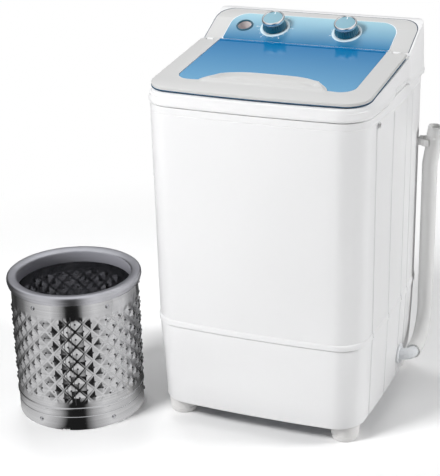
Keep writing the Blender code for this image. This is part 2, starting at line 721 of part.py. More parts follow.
def make_top_frame():
    lip = SEAM_Z + FRAME_LIP_H
    seat = SEAM_Z + NECK_H + FLANGE_T + 2.0 * GAP
    neck = NECK_IN - NECK_PLAY
    rings = [frame_ring(-FRAME_LIP_FOOT, SEAM_Z), frame_ring(-FRAME_LIP_OUT, lip),
             frame_ring(0.0, SEAM_Z + FRAME_SHOULDER_H),
             frame_ring(FRAME_IN, lambda y: top_z(y) - FRAME_EDGE),
             frame_ring(FRAME_IN + FRAME_EDGE, top_z)]
    frame = finish("top_frame", *loft(rings, closed=False), WHITE)
    inside = FRAME_IN + FRAME_LEDGE_W

    def ceiling(y):
        return top_z(y) - (FRAME_WALL if y < CONSOLE_Y - CONSOLE_STEP / 2.0 else BEZEL_T + SHELF_T)

    rings = [frame_ring(neck, SEAM_Z - OVERRUN), frame_ring(neck, seat), frame_ring(inside, seat),
             frame_ring(inside, ceiling)]
    hollow = finish("frame_hollow", *loft(rings, closed=False), WHITE)
    boolean(frame, hollow)
    plan = mirrored(half_outline(MOUTH_R + SKIRT_WALL, MOUTH_R + SKIRT_WALL, MOUTH_R + SKIRT_WALL))
    skirt_y = [(x, y + MOUTH_Y) for x, y in plan]
    skirt = finish("mouth_skirt", *loft([lifted(skirt_y, seat + GAP),
                                         lifted(skirt_y, lambda y: top_z(min(y, CONSOLE_Y - 2 * CONSOLE_STEP))
                                                - FRAME_WALL / 3.0)], closed=False), WHITE)
    boolean(frame, skirt, "UNION")
    mouth = finish("mouth_hole", *turned([(0.0, -OVERRUN), (MOUTH_R, -OVERRUN), (MOUTH_R, 4.0 * OVERRUN),
                                          (0.0, 4.0 * OVERRUN)]), WHITE, at(0.0, MOUTH_Y, SEAM_Z))
    boolean(frame, mouth)
    pocket = finish("bezel_pocket", *loft([lifted(bezel_plan(GAP), lambda y: top_z(y) - BEZEL_T - GAP),
                                           lifted(bezel_plan(GAP), lambda y: top_z(y) + OVERRUN)],
                                          closed=False), WHITE)
    boolean(frame, pocket)
    for hole in console_holes(-BEZEL_T - SHELF_T - OVERRUN, OVERRUN):
        boolean(frame, hole)
    add_hinge_lugs(frame)
    return applied(frame)


def bezel_plan(grow=0.0):
    """Plan of the console cover, square at the front and rounded at its rear corners."""
    half = BEZEL_HALF + grow
    rear = BEZEL_REAR_Y + grow
    turn = [math.radians(90.0 * i / ARC_STEPS) for i in range(ARC_STEPS + 1)]
    arc = [(half - BEZEL_R + BEZEL_R * math.cos(t), rear - BEZEL_R + BEZEL_R * math.sin(t)) for t in turn]
    right = [(0.0, CONSOLE_Y - grow), (half, CONSOLE_Y - grow)] + arc + [(0.0, rear)]
    return mirrored(right)


def console_holes(low, high):
    """Guides for the two knob shafts and the water inlet, square to the console's slope."""
    guides = []
    for name, x, radius in (("wash", KNOB_X * -1.0, SHAFT_HOLE_R), ("drain", KNOB_X, SHAFT_HOLE_R),
                            ("inlet", INLET_X, INLET_R + INLET_WALL + GAP)):
        profile = [(0.0, low), (radius, low), (radius, high), (0.0, high)]
        guides.append(finish(name + "_hole", *turned(profile, SMALL_STEPS), WHITE,
                             CONSOLE @ at(x, KNOB_V)))
    return guides


def make_console():
    bezel = finish("console_bezel", *loft([lifted(bezel_plan(), lambda y: top_z(y) - BEZEL_T),
                                           lifted(bezel_plan(), top_z)], closed=False), WHITE)
    for hole in console_holes(-BEZEL_T * 3.0, OVERRUN):
        boolean(bezel, hole)
    applied(bezel)
    turn = [math.radians(90.0 * i / ARC_STEPS) for i in range(ARC_STEPS + 1)]
    arc = [(OVERLAY_HALF - OVERLAY_R * (1.0 - math.cos(t)), OVERLAY_LENGTH - OVERLAY_R * (1.0 - math.sin(t)))
           for t in turn]
    plan = mirrored([(0.0, OVERLAY_EDGE), (OVERLAY_HALF, OVERLAY_EDGE)] + arc + [(0.0, OVERLAY_LENGTH)])
    overlay = finish("console_overlay", *prism(plan, GAP, GAP + OVERLAY_T), BLUE, CONSOLE)
    for hole in console_holes(-OVERLAY_T, OVERRUN):
        boolean(overlay, hole)
    applied(overlay)
    top = OVERLAY_T + 2.0 * GAP
    for name, x in (("wash_knob_ring", -KNOB_X), ("drain_knob_ring", KNOB_X)):
        profile = [(SHAFT_HOLE_R, top), (RING_R, top), (RING_R - RING_T / 2.0, top + RING_T),
                   (SHAFT_HOLE_R, top + RING_T)]
        finish(name, *turned(profile), RING_WHITE, CONSOLE @ at(x, KNOB_V))
    profile = [(INLET_R, top + RING_T), (INLET_LIP_R, top + RING_T), (INLET_LIP_R, top),
               (INLET_R + INLET_WALL, top), (INLET_R + INLET_WALL, top - INLET_LENGTH),
               (INLET_R, top - INLET_LENGTH)]
    finish("inlet_spigot", *turned(profile, SMALL_STEPS), RING_WHITE, CONSOLE @ at(INLET_X, KNOB_V))


def make_knob(name, x):
    foot = OVERLAY_T + RING_T + 3.0 * GAP
    top = foot + KNOB_H
    bore = KNOB_SHAFT_R + GAP
    well = top - TRIM_SINK
    end = foot + SHAFT_IN_KNOB
    frame = CONSOLE @ at(x, KNOB_V)
    profile = [(0.0, end + GAP), (bore, end + GAP), (bore, foot), (KNOB_BASE_R, foot),
               (KNOB_BASE_R - KNOB_BEVEL, foot + KNOB_H / 3.0), (KNOB_TOP_R, top - KNOB_BEVEL * 2.0),
               (KNOB_TOP_R, top - KNOB_BEVEL), (TRIM_R + GAP * 2.0, top), (TRIM_R + GAP * 2.0, well),
               (0.0, well)]
    finish(name, *turned(profile, ROUND_STEPS, KNOB_FLUTE, (3, 4, 5)), TEAL, frame)
    profile = [(0.0, well + GAP), (TRIM_R, well + GAP), (TRIM_R, well + GAP + TRIM_T / 2.0),
               (TRIM_R - TRIM_T, well + GAP + TRIM_T), (0.0, well + GAP + TRIM_T)]
    finish(name + "_trim", *turned(profile), CHROME, frame)
    low = -BEZEL_T - SHELF_T - SELECTOR_H
    profile = [(0.0, low), (KNOB_SHAFT_R, low), (KNOB_SHAFT_R, end), (0.0, end)]
    finish(name + "_shaft", *turned(profile, SMALL_STEPS), CHROME, frame)


def make_controls():
    make_knob("wash_knob", -KNOB_X)
    make_knob("drain_knob", KNOB_X)
    under = -BEZEL_T - SHELF_T - 3.0 * GAP
    for name, x, size in (("wash_timer", -KNOB_X, (TIMER_W, TIMER_D, TIMER_H)),
                          ("drain_selector", KNOB_X, (SELECTOR_W, SELECTOR_D, SELECTOR_H - 2.0 * GAP))):
        body = finish(name, *block(size, (0.0, 0.0, under - size[2] / 2.0)), DARK_GREY,
                      CONSOLE @ at(x, KNOB_V))
        profile = [(0.0, -2.0 * TIMER_H), (KNOB_SHAFT_R + GAP, -2.0 * TIMER_H), (KNOB_SHAFT_R + GAP, OVERRUN),
                   (0.0, OVERRUN)]
        bore = finish(name + "_bore", *turned(profile, SMALL_STEPS), DARK_GREY, CONSOLE @ at(x, KNOB_V))
        applied(boolean(body, bore))
    low = -BEZEL_T - SHELF_T - SELECTOR_H
    arm = block((CRANK_L + CRANK_W, CRANK_W, CRANK_T), (CRANK_L / 2.0, 0.0, low - GAP - CRANK_T / 2.0))
    finish("drain_crank", *arm, STEEL_GREY, CONSOLE @ at(KNOB_X, KNOB_V))


def lid_plan(grow=0.0, short=0.0):
    """Plan of the lid in the deck's own frame, its front edge bowed."""
    half = LID_HALF + grow
    length = LID_LENGTH + grow - short
    turn = [math.radians(90.0 * i / ARC_STEPS) for i in range(ARC_STEPS + 1)]
    radius = LID_CORNER_R + grow
    right = [((half - radius) * s, -grow) for s in FACE_SHARES]
    right += [(half - radius * (1.0 - math.sin(t)), radius * (1.0 - math.cos(t)) - grow) for t in turn]
    right += [(half - LID_REAR_R * (1.0 - math.cos(t)), length - LID_REAR_R * (1.0 - math.sin(t)))
              for t in turn]
    right += [(0.0, length)]
    return mirrored([(x, v + LID_BOW * (x / half) ** 2 * (1.0 - v / length)) for x, v in right])


def window_plan():
    """Opening in the lid frame, with the finger grip's arch standing into its front edge."""
    top = WINDOW_FRONT + GRIP_LENGTH
    bend_share, dip_share = 0.5, 0.25
    low_share, high_share = 0.3, 0.8
    arch = [(0.0, top), (GRIP_TOP_HALF * bend_share, top - GRIP_RISE * dip_share),
            (GRIP_TOP_HALF, top - GRIP_RISE),
            (GRIP_TOP_HALF + (GRIP_HALF - GRIP_TOP_HALF) * low_share,
             top - GRIP_RISE - (GRIP_LENGTH - GRIP_RISE) * low_share),
            (GRIP_TOP_HALF + (GRIP_HALF - GRIP_TOP_HALF) * high_share,
             top - GRIP_RISE - (GRIP_LENGTH - GRIP_RISE) * high_share),
            (GRIP_HALF, WINDOW_FRONT)]
    turn = [math.radians(90.0 * i / ARC_STEPS) for i in range(ARC_STEPS + 1)]
    corner = [(WINDOW_HALF - WINDOW_R * (1.0 - math.sin(t)), WINDOW_FRONT + WINDOW_R * (1.0 - math.cos(t)))
              for t in turn]
    return mirrored(arch + corner + [(WINDOW_HALF, WINDOW_REAR), (0.0, WINDOW_REAR)])


def hinge_guides(prefix):
    """The two hinge pins' bores, as guides along X in the lid's frame."""
    guides = []
    for side in (-1, 1):
        length = PIN_L / 2.0 + GAP
        profile = [(0.0, -length), (PIN_R + GAP, -length), (PIN_R + GAP, length), (0.0, length)]
        guides.append(finish("%s_bore_%d" % (prefix, side), *turned(profile, SMALL_STEPS // 2), WHITE,
                             LID @ at(side * HINGE_X, HINGE_V, HINGE_LIFT) @ ALONG_X))
    return guides


def make_lid():
    panel_low = PANEL_LIFT
    panel_high = panel_low + PANEL_T
    plan = lid_plan(0.0, PANEL_BACK)
    finish("lid_window", *loft([lifted(plan, panel_low), lifted(plan, panel_high)], closed=False), BLUE, LID)
    low = panel_high + GAP
    high = low + LID_T
    rings = [lifted(lid_plan(), low), lifted(lid_plan(), high - LID_BEVEL),
             lifted(lid_plan(-LID_BEVEL), high)]
    frame = finish("lid_frame", *loft(rings, closed=False), WHITE, LID)
    window = finish("window_hole", *prism(window_plan(), low - OVERRUN, high + OVERRUN), WHITE, LID)
    boolean(frame, window)
    dome = bmesh.new()
    bmesh.ops.create_uvsphere(dome, u_segments=SMALL_STEPS, v_segments=ARC_STEPS * 2, radius=1.0)
    mesh = bpy.data.meshes.new("grip_scoop")
    dome.to_mesh(mesh)
    dome.free()
    scoop = bpy.data.objects.new("grip_scoop", mesh)
    bpy.context.collection.objects.link(scoop)
    scoop.parent = ROW
    scoop.matrix_local = LID @ at(0.0, SCOOP_V, high) @ Matrix.Diagonal((SCOOP_X, SCOOP_Y, SCOOP_Z, 1.0))
    boolean(frame, scoop)
    for side in (-1, 1):
        size = (LUG_W + 2.0 * LUG_ROOM, LUG_HALF + LUG_ROOM + OVERRUN, OVERRUN)
        centre = (side * HINGE_X, HINGE_V + (OVERRUN - LUG_HALF - LUG_ROOM) / 2.0, HINGE_LIFT)
        boolean(frame, finish("lug_notch_%d" % side, *block(size, centre), WHITE, LID))
    for bore in hinge_guides("lid"):
        boolean(frame, bore)
    applied(frame)
    for name, side in (("lid_hinge_pin_left", -1), ("lid_hinge_pin_right", 1)):
        profile = [(0.0, -PIN_L / 2.0), (PIN_R, -PIN_L / 2.0), (PIN_R, PIN_L / 2.0), (0.0, PIN_L / 2.0)]
        finish(name, *turned(profile, SMALL_STEPS // 2), CHROME,
               LID @ at(side * HINGE_X, HINGE_V, HINGE_LIFT) @ ALONG_X)


def add_hinge_lugs(frame):
    high = PANEL_LIFT + PANEL_T + GAP + LID_T
    for side in (-1, 1):
        size = (LUG_W, 2.0 * LUG_HALF, high + LUG_ROOM)
        centre = (side * HINGE_X, HINGE_V, (high - LUG_ROOM) / 2.0)
        boolean(frame, finish("lug_%d" % side, *block(size, centre), WHITE, LID), "UNION")
    for bore in hinge_guides("lug"):
        boolean(frame, bore)


def make_drive():
    axis = at(0.0, DRIVE_Y)
    bore = SHAFT_R + GAP
    seat = TUB_FLOOR_Z - GAP
    flange = seat - HOUSING_FLANGE_T
    neck = TUB_FLOOR_Z + NECK_RISE
    inside = BORE_R + GAP
    profile = [(inside, HOUSING_BOTTOM_Z), (HOUSING_R, HOUSING_BOTTOM_Z), (HOUSING_R, flange),
               (HOUSING_FLANGE_R, flange), (HOUSING_FLANGE_R, seat), (NECK_R, seat), (NECK_R, neck),
               (inside, neck)]
    finish("bearing_housing", *turned(profile, SMALL_STEPS + 4), STEEL_GREY, axis)
    for name, z, height, mat in (("lower_bearing", LOWER_BEARING_Z, BEARING_H, CHROME),
                                 ("upper_bearing", UPPER_BEARING_Z, BEARING_H, CHROME),
                                 ("shaft_seal", SEAL_Z, SEAL_H, RUBBER)):
        profile = [(bore, z), (BORE_R, z), (BORE_R, z + height), (bore, z + height)]
        finish(name, *turned(profile, SMALL_STEPS), mat, axis)
    hole = SCREW_R + GAP
    profile = [(0.0, SHAFT_BOTTOM_Z), (SHAFT_R, SHAFT_BOTTOM_Z), (SHAFT_R, SHAFT_TOP_Z), (hole, SHAFT_TOP_Z),
               (hole, SHAFT_TOP_Z - SCREW_L - GAP), (0.0, SHAFT_TOP_Z - SCREW_L - GAP)]
    finish("drive_shaft", *turned(profile, SMALL_STEPS), CHROME, axis)
    make_pulsator(axis)
    make_pulleys(axis)


def make_pulsator(axis):
    top = SHAFT_TOP_Z + GAP
    bore = SHAFT_R + GAP
    z = PULSATOR_Z
    wall = PULSATOR_WALL
    edge = PULSATOR_R - 2.0 * wall
    rows = [(bore, z, 0.0), (PULSATOR_HUB_R, z, 0.0), (PULSATOR_HUB_R, z + wall, 0.0), (edge, z + wall, 0.0),
            (PULSATOR_R - wall, z - wall / 2.0, 0.0), (PULSATOR_R, z, 0.0), (PULSATOR_R, z + wall, 0.0),
            (edge, z + 2.0 * wall, PULSATOR_EDGE_SHARE)]
    rows += [(PULSATOR_R * out, z + PULSATOR_H * up, ridge) for out, up, ridge in PULSATOR_ROW_SHARES]
    rows += [(PULSATOR_FLARE_R, z + PULSATOR_H, PULSATOR_HUB_SHARE), (PULSATOR_TOP_R, top, 0.0),
             (bore, top, 0.0)]
    rings = []
    for radius, height, share in rows:
        ring = []
        for j in range(ROUND_STEPS):
            a = 2.0 * math.pi * j / ROUND_STEPS
            rise = PULSATOR_RIDGE * share * ((1.0 + math.cos(RIDGES * a)) / 2.0) ** 3
            ring.append((radius * math.cos(a), radius * math.sin(a), min(height + rise, max(height, top))))
        rings.append(ring)
    finish("pulsator", *loft(rings), TEAL, axis)
    head = top + GAP
    profile = [(0.0, SHAFT_TOP_Z - SCREW_L), (SCREW_R, SHAFT_TOP_Z - SCREW_L), (SCREW_R, head),
               (SCREW_HEAD_R, head), (SCREW_HEAD_R, head + SCREW_HEAD_H / 2.0),
               (SCREW_HEAD_R - SCREW_HEAD_H / 2.0, head + SCREW_HEAD_H), (0.0, head + SCREW_HEAD_H)]
    finish("pulsator_screw", *turned(profile, SMALL_STEPS), CHROME, axis)


def pulley_profile(radius, bore):
    low = PULLEY_Z
    high = PULLEY_Z + PULLEY_H
    slot = (PULLEY_H - BELT_W) / 2.0 - GAP
    floor = radius - PULLEY_GROOVE
    return [(bore, low), (radius, low), (radius, low + slot), (floor, low + slot), (floor, high - slot),
            (radius, high - slot), (radius, high), (bore, high)]


def make_pulleys(axis):
    finish("driven_pulley", *turned(pulley_profile(PULLEY_R, SHAFT_R + GAP)), STEEL_GREY, axis)
    nut = PULLEY_Z - GAP
    hexagon = 6
    bore = (SHAFT_R + GAP) / math.cos(math.pi / hexagon)
    profile = [(bore, nut - NUT_H), (NUT_R, nut - NUT_H), (NUT_R, nut), (bore, nut)]
    finish("pulley_nut", *turned(profile, hexagon), CHROME, axis, sharp=20)
    motor = at(0.0, MOTOR_Y)
    finish("motor_pulley", *turned(pulley_profile(MOTOR_PULLEY_R, MOTOR_SHAFT_R + GAP), SMALL_STEPS + 4),
           STEEL_GREY, motor)
    spread = MOTOR_Y - DRIVE_Y
    tilt = math.asin((PULLEY_R - MOTOR_PULLEY_R) / spread)
    big = [(-tilt + (math.pi + 2.0 * tilt) * i / SMALL_STEPS) for i in range(SMALL_STEPS + 1)]
    small = [(tilt + (math.pi - 2.0 * tilt) * i / ARC_STEPS / 2.0) for i in range(2 * ARC_STEPS + 1)]

    def loop(extra, z):
        low = PULLEY_R - PULLEY_GROOVE + GAP * 3.0 + extra
        lead = MOTOR_PULLEY_R - PULLEY_GROOVE + GAP * 3.0 + extra
        ring = [(-low * math.cos(a), DRIVE_Y - low * math.sin(a), z) for a in big]
        return ring + [(lead * math.cos(a), MOTOR_Y + lead * math.sin(a), z) for a in small]

    middle = PULLEY_Z + PULLEY_H / 2.0
    z0 = middle - BELT_W / 2.0
    z1 = middle + BELT_W / 2.0
    finish("drive_belt", *loft([loop(BELT_T, z0), loop(BELT_T, z1), loop(0.0, z1), loop(0.0, z0)]), RUBBER)
    make_motor(motor)


def make_motor(motor):
    plate = block((2.0 * (POST_X + BRACKET_MARGIN), 2.0 * (POST_Y + BRACKET_MARGIN), BRACKET_T),
                  (0.0, 0.0, BRACKET_Z + BRACKET_T / 2.0))
    bracket = finish("motor_bracket", *plate, STEEL_GREY, motor)
    profile = [(0.0, BRACKET_Z - OVERRUN), (MOTOR_BORE_R, BRACKET_Z - OVERRUN),
               (MOTOR_BORE_R, BRACKET_Z + OVERRUN), (0.0, BRACKET_Z + OVERRUN)]
    hole = finish("bracket_hole", *turned(profile, SMALL_STEPS), STEEL_GREY, motor)
    applied(boolean(bracket, hole))
    low = BRACKET_Z + BRACKET_T + GAP
    high = low + MOTOR_H
    core = MOTOR_CORE_R
    cap = MOTOR_CAP
    bore = MOTOR_SHAFT_R + GAP
    profile = [(0.0, high), (MOTOR_R - cap, high), (MOTOR_R, high - cap), (MOTOR_R, low), (bore, low),
               (bore, low + cap), (core, low + cap), (core, high - cap), (0.0, high - cap)]
    finish("motor_stator", *turned(profile, SMALL_STEPS + 8), STEEL_GREY, motor)
    rotor = core - GAP * 3.0
    profile = [(0.0, SHAFT_BOTTOM_Z), (MOTOR_SHAFT_R, SHAFT_BOTTOM_Z), (MOTOR_SHAFT_R, low + cap + GAP),
               (rotor, low + cap + GAP), (rotor, high - cap - GAP), (0.0, high - cap - GAP)]
    finish("motor_rotor", *turned(profile, SMALL_STEPS), CHROME, motor)
    foot = BOTTOM_Z + PLATE_T + GAP
    profile = [(0.0, foot), (CAPACITOR_R, foot), (CAPACITOR_R, foot + CAPACITOR_H), (0.0, foot + CAPACITOR_H)]
    finish("motor_capacitor", *turned(profile, SMALL_STEPS), DARK_GREY, at(CAPACITOR_X, CAPACITOR_Y))


def smooth_path(points, per_span=3):
    """Points along a smooth curve through hand-set ones."""
    path = [Vector(p) for p in points]
    out = []
    for i in range(len(path) - 1):
        a = path[max(i - 1, 0)]
        b = path[i]
        c = path[i + 1]
        d = path[min(i + 2, len(path) - 1)]
        for k in range(per_span):
            t = k / per_span
            out.append((2.0 * b + (c - a) * t + (2.0 * a - 5.0 * b + 4.0 * c - d) * t * t
                        + (3.0 * b - a - 3.0 * c + d) * t ** 3) / 2.0)
    return out + [path[-1]]


def make_drain():
    wall = VALVE_WALL
    low = LEDGE_Z
    axis = at(VALVE_X, VALVE_Y)
    bore = ROD_R + 2.0 * GAP
    profile = [(0.0, low), (VALVE_R, low), (VALVE_R, VALVE_TOP_Z), (bore, VALVE_TOP_Z),
               (bore, VALVE_TOP_Z - wall), (VALVE_R - wall, VALVE_TOP_Z - wall), (VALVE_R - wall, low + wall),
               (0.0, low + wall)]
    finish("drain_valve_body", *turned(profile, SMALL_STEPS), TUB_WHITE, axis)
    seat = low + wall + GAP
    profile = [(0.0, seat), (PLUNGER_R, seat), (PLUNGER_R, seat + PLUNGER_H), (ROD_R, seat + PLUNGER_H),
               (ROD_R, ROD_TOP_Z - ROD_HEAD_T), (ROD_HEAD_R, ROD_TOP_Z - ROD_HEAD_T), (ROD_HEAD_R, ROD_TOP_Z),
               (0.0, ROD_TOP_Z)]
    finish("drain_valve_rod", *turned(profile, SMALL_STEPS - 8), STEEL_GREY, axis)
    make_spring(axis, seat + PLUNGER_H + SPRING_WIRE + GAP, VALVE_TOP_Z - wall - SPRING_WIRE - GAP)
    make_drain_pipes()


def make_spring(axis, z0, z1):
    steps = 8 * SPRING_TURNS
    points = []
    for i in range(steps + 1):
        a = 2.0 * math.pi * SPRING_TURNS * i / steps
        points.append((SPRING_R * math.cos(a), SPRING_R * math.sin(a), z0 + (z1 - z0) * i / steps))
    finish("drain_valve_spring", *swept(points, [SPRING_WIRE] * len(points), steps=4), CHROME, axis, sharp=60)


def make_drain_pipes():
    radius = OUTLET_R
    reach = VALVE_R + GAP * 2.0
    towards = Vector((VALVE_X - DRAIN_X, VALVE_Y - DRAIN_Y, 0.0)).normalized()
    end = Vector((VALVE_X, VALVE_Y, VALVE_IN_Z)) - towards * reach
    top = Vector((DRAIN_X, DRAIN_Y, TUB_FLOOR_Z - GAP))
    drop = Vector((0.0, 0.0, radius * 2.0))
    near, far = 0.3, 1.2
    run = towards * radius
    points = smooth_path([top, top - drop * near, top - drop, end - run * far + drop * far, end - run,
                          end - run * near, end], 2)
    points[-1] = end
    finish("drain_pipe", *swept(points, [radius] * len(points), OUTLET_BORE_R, PIPE_STEPS), RUBBER)
    hole_y = HOSE_END_Y - ELBOW_REACH
    inner = Vector((OUTLET_INSIDE_X, hole_y, HOSE_Z))
    away = (inner - Vector((VALVE_X, VALVE_Y, HOSE_Z))).normalized()
    start = Vector((VALVE_X, VALVE_Y, HOSE_Z)) + away * reach
    short = Vector((GAP, 0.0, 0.0))
    step_share = 0.8
    step = Vector((radius * step_share, 0.0, 0.0))
    run = away * radius
    points = smooth_path([start, start + run * near, start + run, inner - step * 2.0 - run, inner - step,
                          inner - step * near, inner - short], 2)
    finish("outlet_pipe", *swept(points, [radius] * len(points), OUTLET_BORE_R, PIPE_STEPS), RUBBER)
    turn = [math.radians(90.0 * i / ELBOW_BEND_STEPS) for i in range(ELBOW_BEND_STEPS + 1)]
    bend = ELBOW_REACH - GAP
    wall = side_x(HOSE_Z) + GAP
    back = Vector((wall, hole_y, HOSE_Z))
    front = Vector((wall + OUTLET_FLANGE_T, hole_y, HOSE_Z))
    points = [inner, back, back, front, front]
    radii = [radius, radius, OUTLET_FLANGE_R, OUTLET_FLANGE_R, radius]
    start_x = HOSE_X - bend
    points += [Vector((start_x + bend * math.sin(t), hole_y + bend * (1.0 - math.cos(t)), HOSE_Z))
               for t in turn]
    points += [Vector((HOSE_X, HOSE_END_Y + OUTLET_IN_HOSE, HOSE_Z))]
    radii += [radius] * (len(points) - len(radii))
    finish("drain_outlet", *pipe_with_flange(points, radii, OUTLET_BORE_R), TUB_WHITE)
    make_hose()


def pipe_with_flange(points, radii, bore):
    """A bored tube whose repeated points make square steps in its outer radius."""
    path = []
    for p in points:
        if not path or (p - path[-1]).length > 0.0:
            path.append(p)
    steps = SMALL_STEPS - 4
    rings = {}
    side = Vector((0.0, 0.0, 1.0))
    for i, p in enumerate(path):
        ahead = (path[min(i + 1, len(path) - 1)] - path[max(i - 1, 0)]).normalized()
        rings[tuple(p)] = (p, side, ahead.cross(side))
    turn = [2.0 * math.pi * j / steps for j in range(steps)]

    def ring(p, radius):
        p, u, v = rings[tuple(p)]
        return [p + (u * math.cos(t) + v * math.sin(t)) * radius for t in turn]

    outer = [ring(p, radius) for p, radius in zip(points, radii)]
    return loft(outer + [ring(p, bore) for p in reversed(path)])


def hose_path():
    top_y = HOSE_Y
    bend = HOSE_BEND
    turn = [math.radians(90.0 * i / (2 * ARC_STEPS - 2)) for i in range(2 * ARC_STEPS - 1)]
    points = [Vector((HOSE_X, HOSE_END_Y, HOSE_Z))]
    points += [Vector((HOSE_X, top_y - bend + bend * math.sin(t), HOSE_Z + bend * (1.0 - math.cos(t))))
               for t in turn]
    points += [Vector((HOSE_X, top_y, HOSE_LEAN_Z))]
    lean_share = (HOSE_TOP_Z - CUFF_L - HOSE_LEAN_Z) / (HOSE_TOP_Z - HOSE_LEAN_Z)
    cuff = Vector((HOSE_X + HOSE_TOP_LEAN * lean_share, top_y, HOSE_TOP_Z - CUFF_L))
    top = Vector((HOSE_X + HOSE_TOP_LEAN, top_y, HOSE_TOP_Z))
    return points + [cuff, cuff + Vector((0.0, 0.0, GAP)), top]


def make_hose():
    points = hose_path()
    radii = [HOSE_R] * (len(points) - 2) + [CUFF_R] * 2
    finish("drain_hose", *swept(points, radii, HOSE_BORE_R, SMALL_STEPS - 2), HOSE_WHITE, sharp=50)
    inner = HOSE_R + 2.0 * GAP
    outer = inner + CLIP_T
    steps = ARC_STEPS * 2
    half = CLIP_FOOT_HALF
    wall = side_x(CLIP_Z) - BOW * (HOSE_Y / HALF_DEPTH) ** 2 + GAP

    def arc(radius, a0, a1):
        angles = [math.radians(a0 + (a1 - a0) * i / steps) for i in range(steps + 1)]
        return [(HOSE_X + radius * math.cos(a), HOSE_Y + radius * math.sin(a)) for a in angles]

    near = 180.0 - math.degrees(math.asin(half / outer))
    plan = arc(outer, 90.0, near) + [(wall, HOSE_Y + half), (wall, HOSE_Y - half)]
    plan += arc(outer, 360.0 - near, 270.0) + arc(inner, 270.0, 90.0)
    finish("hose_clip", *prism(plan, CLIP_Z - CLIP_H / 2.0, CLIP_Z + CLIP_H / 2.0), HOSE_WHITE)


def rear_y(x, z):
    """Where the rear wall's outside stands."""
    return HALF_DEPTH - lean(z) - BOW * (x / side_x(z)) ** 2


def make_rear():
    xs = [(HALF_WIDTH - CORNER_R) * s for s in FACE_SHARES] + [COVER_HALF]
    middle = (COVER_Z0 + COVER_Z1) / 2.0
    rings = []
    soft_share = 0.3
    soft = COVER_R * soft_share
    for z, short in ((COVER_Z0, COVER_R), (COVER_Z0 + soft, soft), (COVER_Z0 + COVER_R, 0.0),
                     (COVER_Z1 - COVER_R, 0.0), (COVER_Z1 - soft, soft), (COVER_Z1, COVER_R)):
        row = xs[:-1] + [COVER_HALF - short] if COVER_HALF - short > xs[-2] else xs[:-1] + [xs[-2] + GAP]
        near = [(x, rear_y(x, z) + GAP * 2.0, z) for x in row]
        far = [(x, rear_y(x, z) + GAP * 2.0 + COVER_T, z) for x in reversed(row)]
        half = near + far
        rings.append(half + [(-x, y, zz) for x, y, zz in reversed(half[1:-1])])
    finish("rear_cover", *loft(rings, closed=False), COVER_WHITE)
    profile = [(0.0, 0.0), (COVER_SCREW_R, 0.0), (COVER_SCREW_R, COVER_SCREW_T / 2.0),
               (COVER_SCREW_R - COVER_SCREW_T / 2.0, COVER_SCREW_T), (0.0, COVER_SCREW_T)]
    inset = COVER_R
    for i, (sx, z) in enumerate(((-1, COVER_Z0 + inset), (1, COVER_Z0 + inset), (1, COVER_Z1 - inset),
                                 (-1, COVER_Z1 - inset))):
        x = sx * (COVER_HALF - inset)
        y = rear_y(x, z) + GAP * 2.0 + COVER_T + GAP * 2.0
        finish("rear_cover_screw_%d" % (i + 1), *turned(profile, SMALL_STEPS // 2), CHROME,
               along((x, y, z), (0.0, 1.0, 0.0)))
    y = rear_y(GLAND_X, GLAND_Z) + GAP
    lip = GLAND_FLANGE_T
    profile = [(GLAND_BORE_R, -WALL * 2.0), (GLAND_R, -WALL * 2.0), (GLAND_R, 0.0), (GLAND_FLANGE_R, 0.0),
               (GLAND_FLANGE_R, lip), (GLAND_R, lip), (GLAND_TIP_R, GLAND_L), (GLAND_BORE_R, GLAND_L)]
    finish("mains_lead_gland", *turned(profile, SMALL_STEPS), DARK_GREY,
           along((GLAND_X, y + GLAND_SEAT, GLAND_Z), (0.0, 1.0, 0.0)))


def basket_shell_rings():
    columns = 2 * DIAMOND_COLUMNS
    rows = 2 * DIAMOND_ROWS
    base = BASKET_BAND_H + GAP
    top = BASKET_H - RIM_ROUND - RIM_ROUND / 2.0

    def plain(radius, z):
        turn = [2.0 * math.pi * i / columns for i in range(columns)]
        return [(radius * math.cos(a), radius * math.sin(a), z) for a in turn]

    rings = [plain(BASKET_R, base), plain(BASKET_R, RIDGE_Z - RIDGE_H / 2.0),
             plain(BASKET_R + RIDGE_OUT, RIDGE_Z), plain(BASKET_R, RIDGE_Z + RIDGE_H / 2.0)]
    first = len(rings)
    for j in range(rows + 1):
        z = DIAMOND_Z0 + (DIAMOND_Z1 - DIAMOND_Z0) * j / rows
        ring = []
        for i in range(columns):
            inside = 0 < j < rows
            radius = BASKET_R + inside * (DIAMOND_OUT if (i + j) % 2 == 0 else -DIAMOND_IN)
            a = 2.0 * math.pi * i / columns
            ring.append((radius * math.cos(a), radius * math.sin(a), z))
        rings.append(ring)
    inner = BASKET_R - BASKET_WALL - DIAMOND_IN
    rings += [plain(BASKET_R, top), plain(inner, top), plain(inner, base)]
    return rings, first, rows


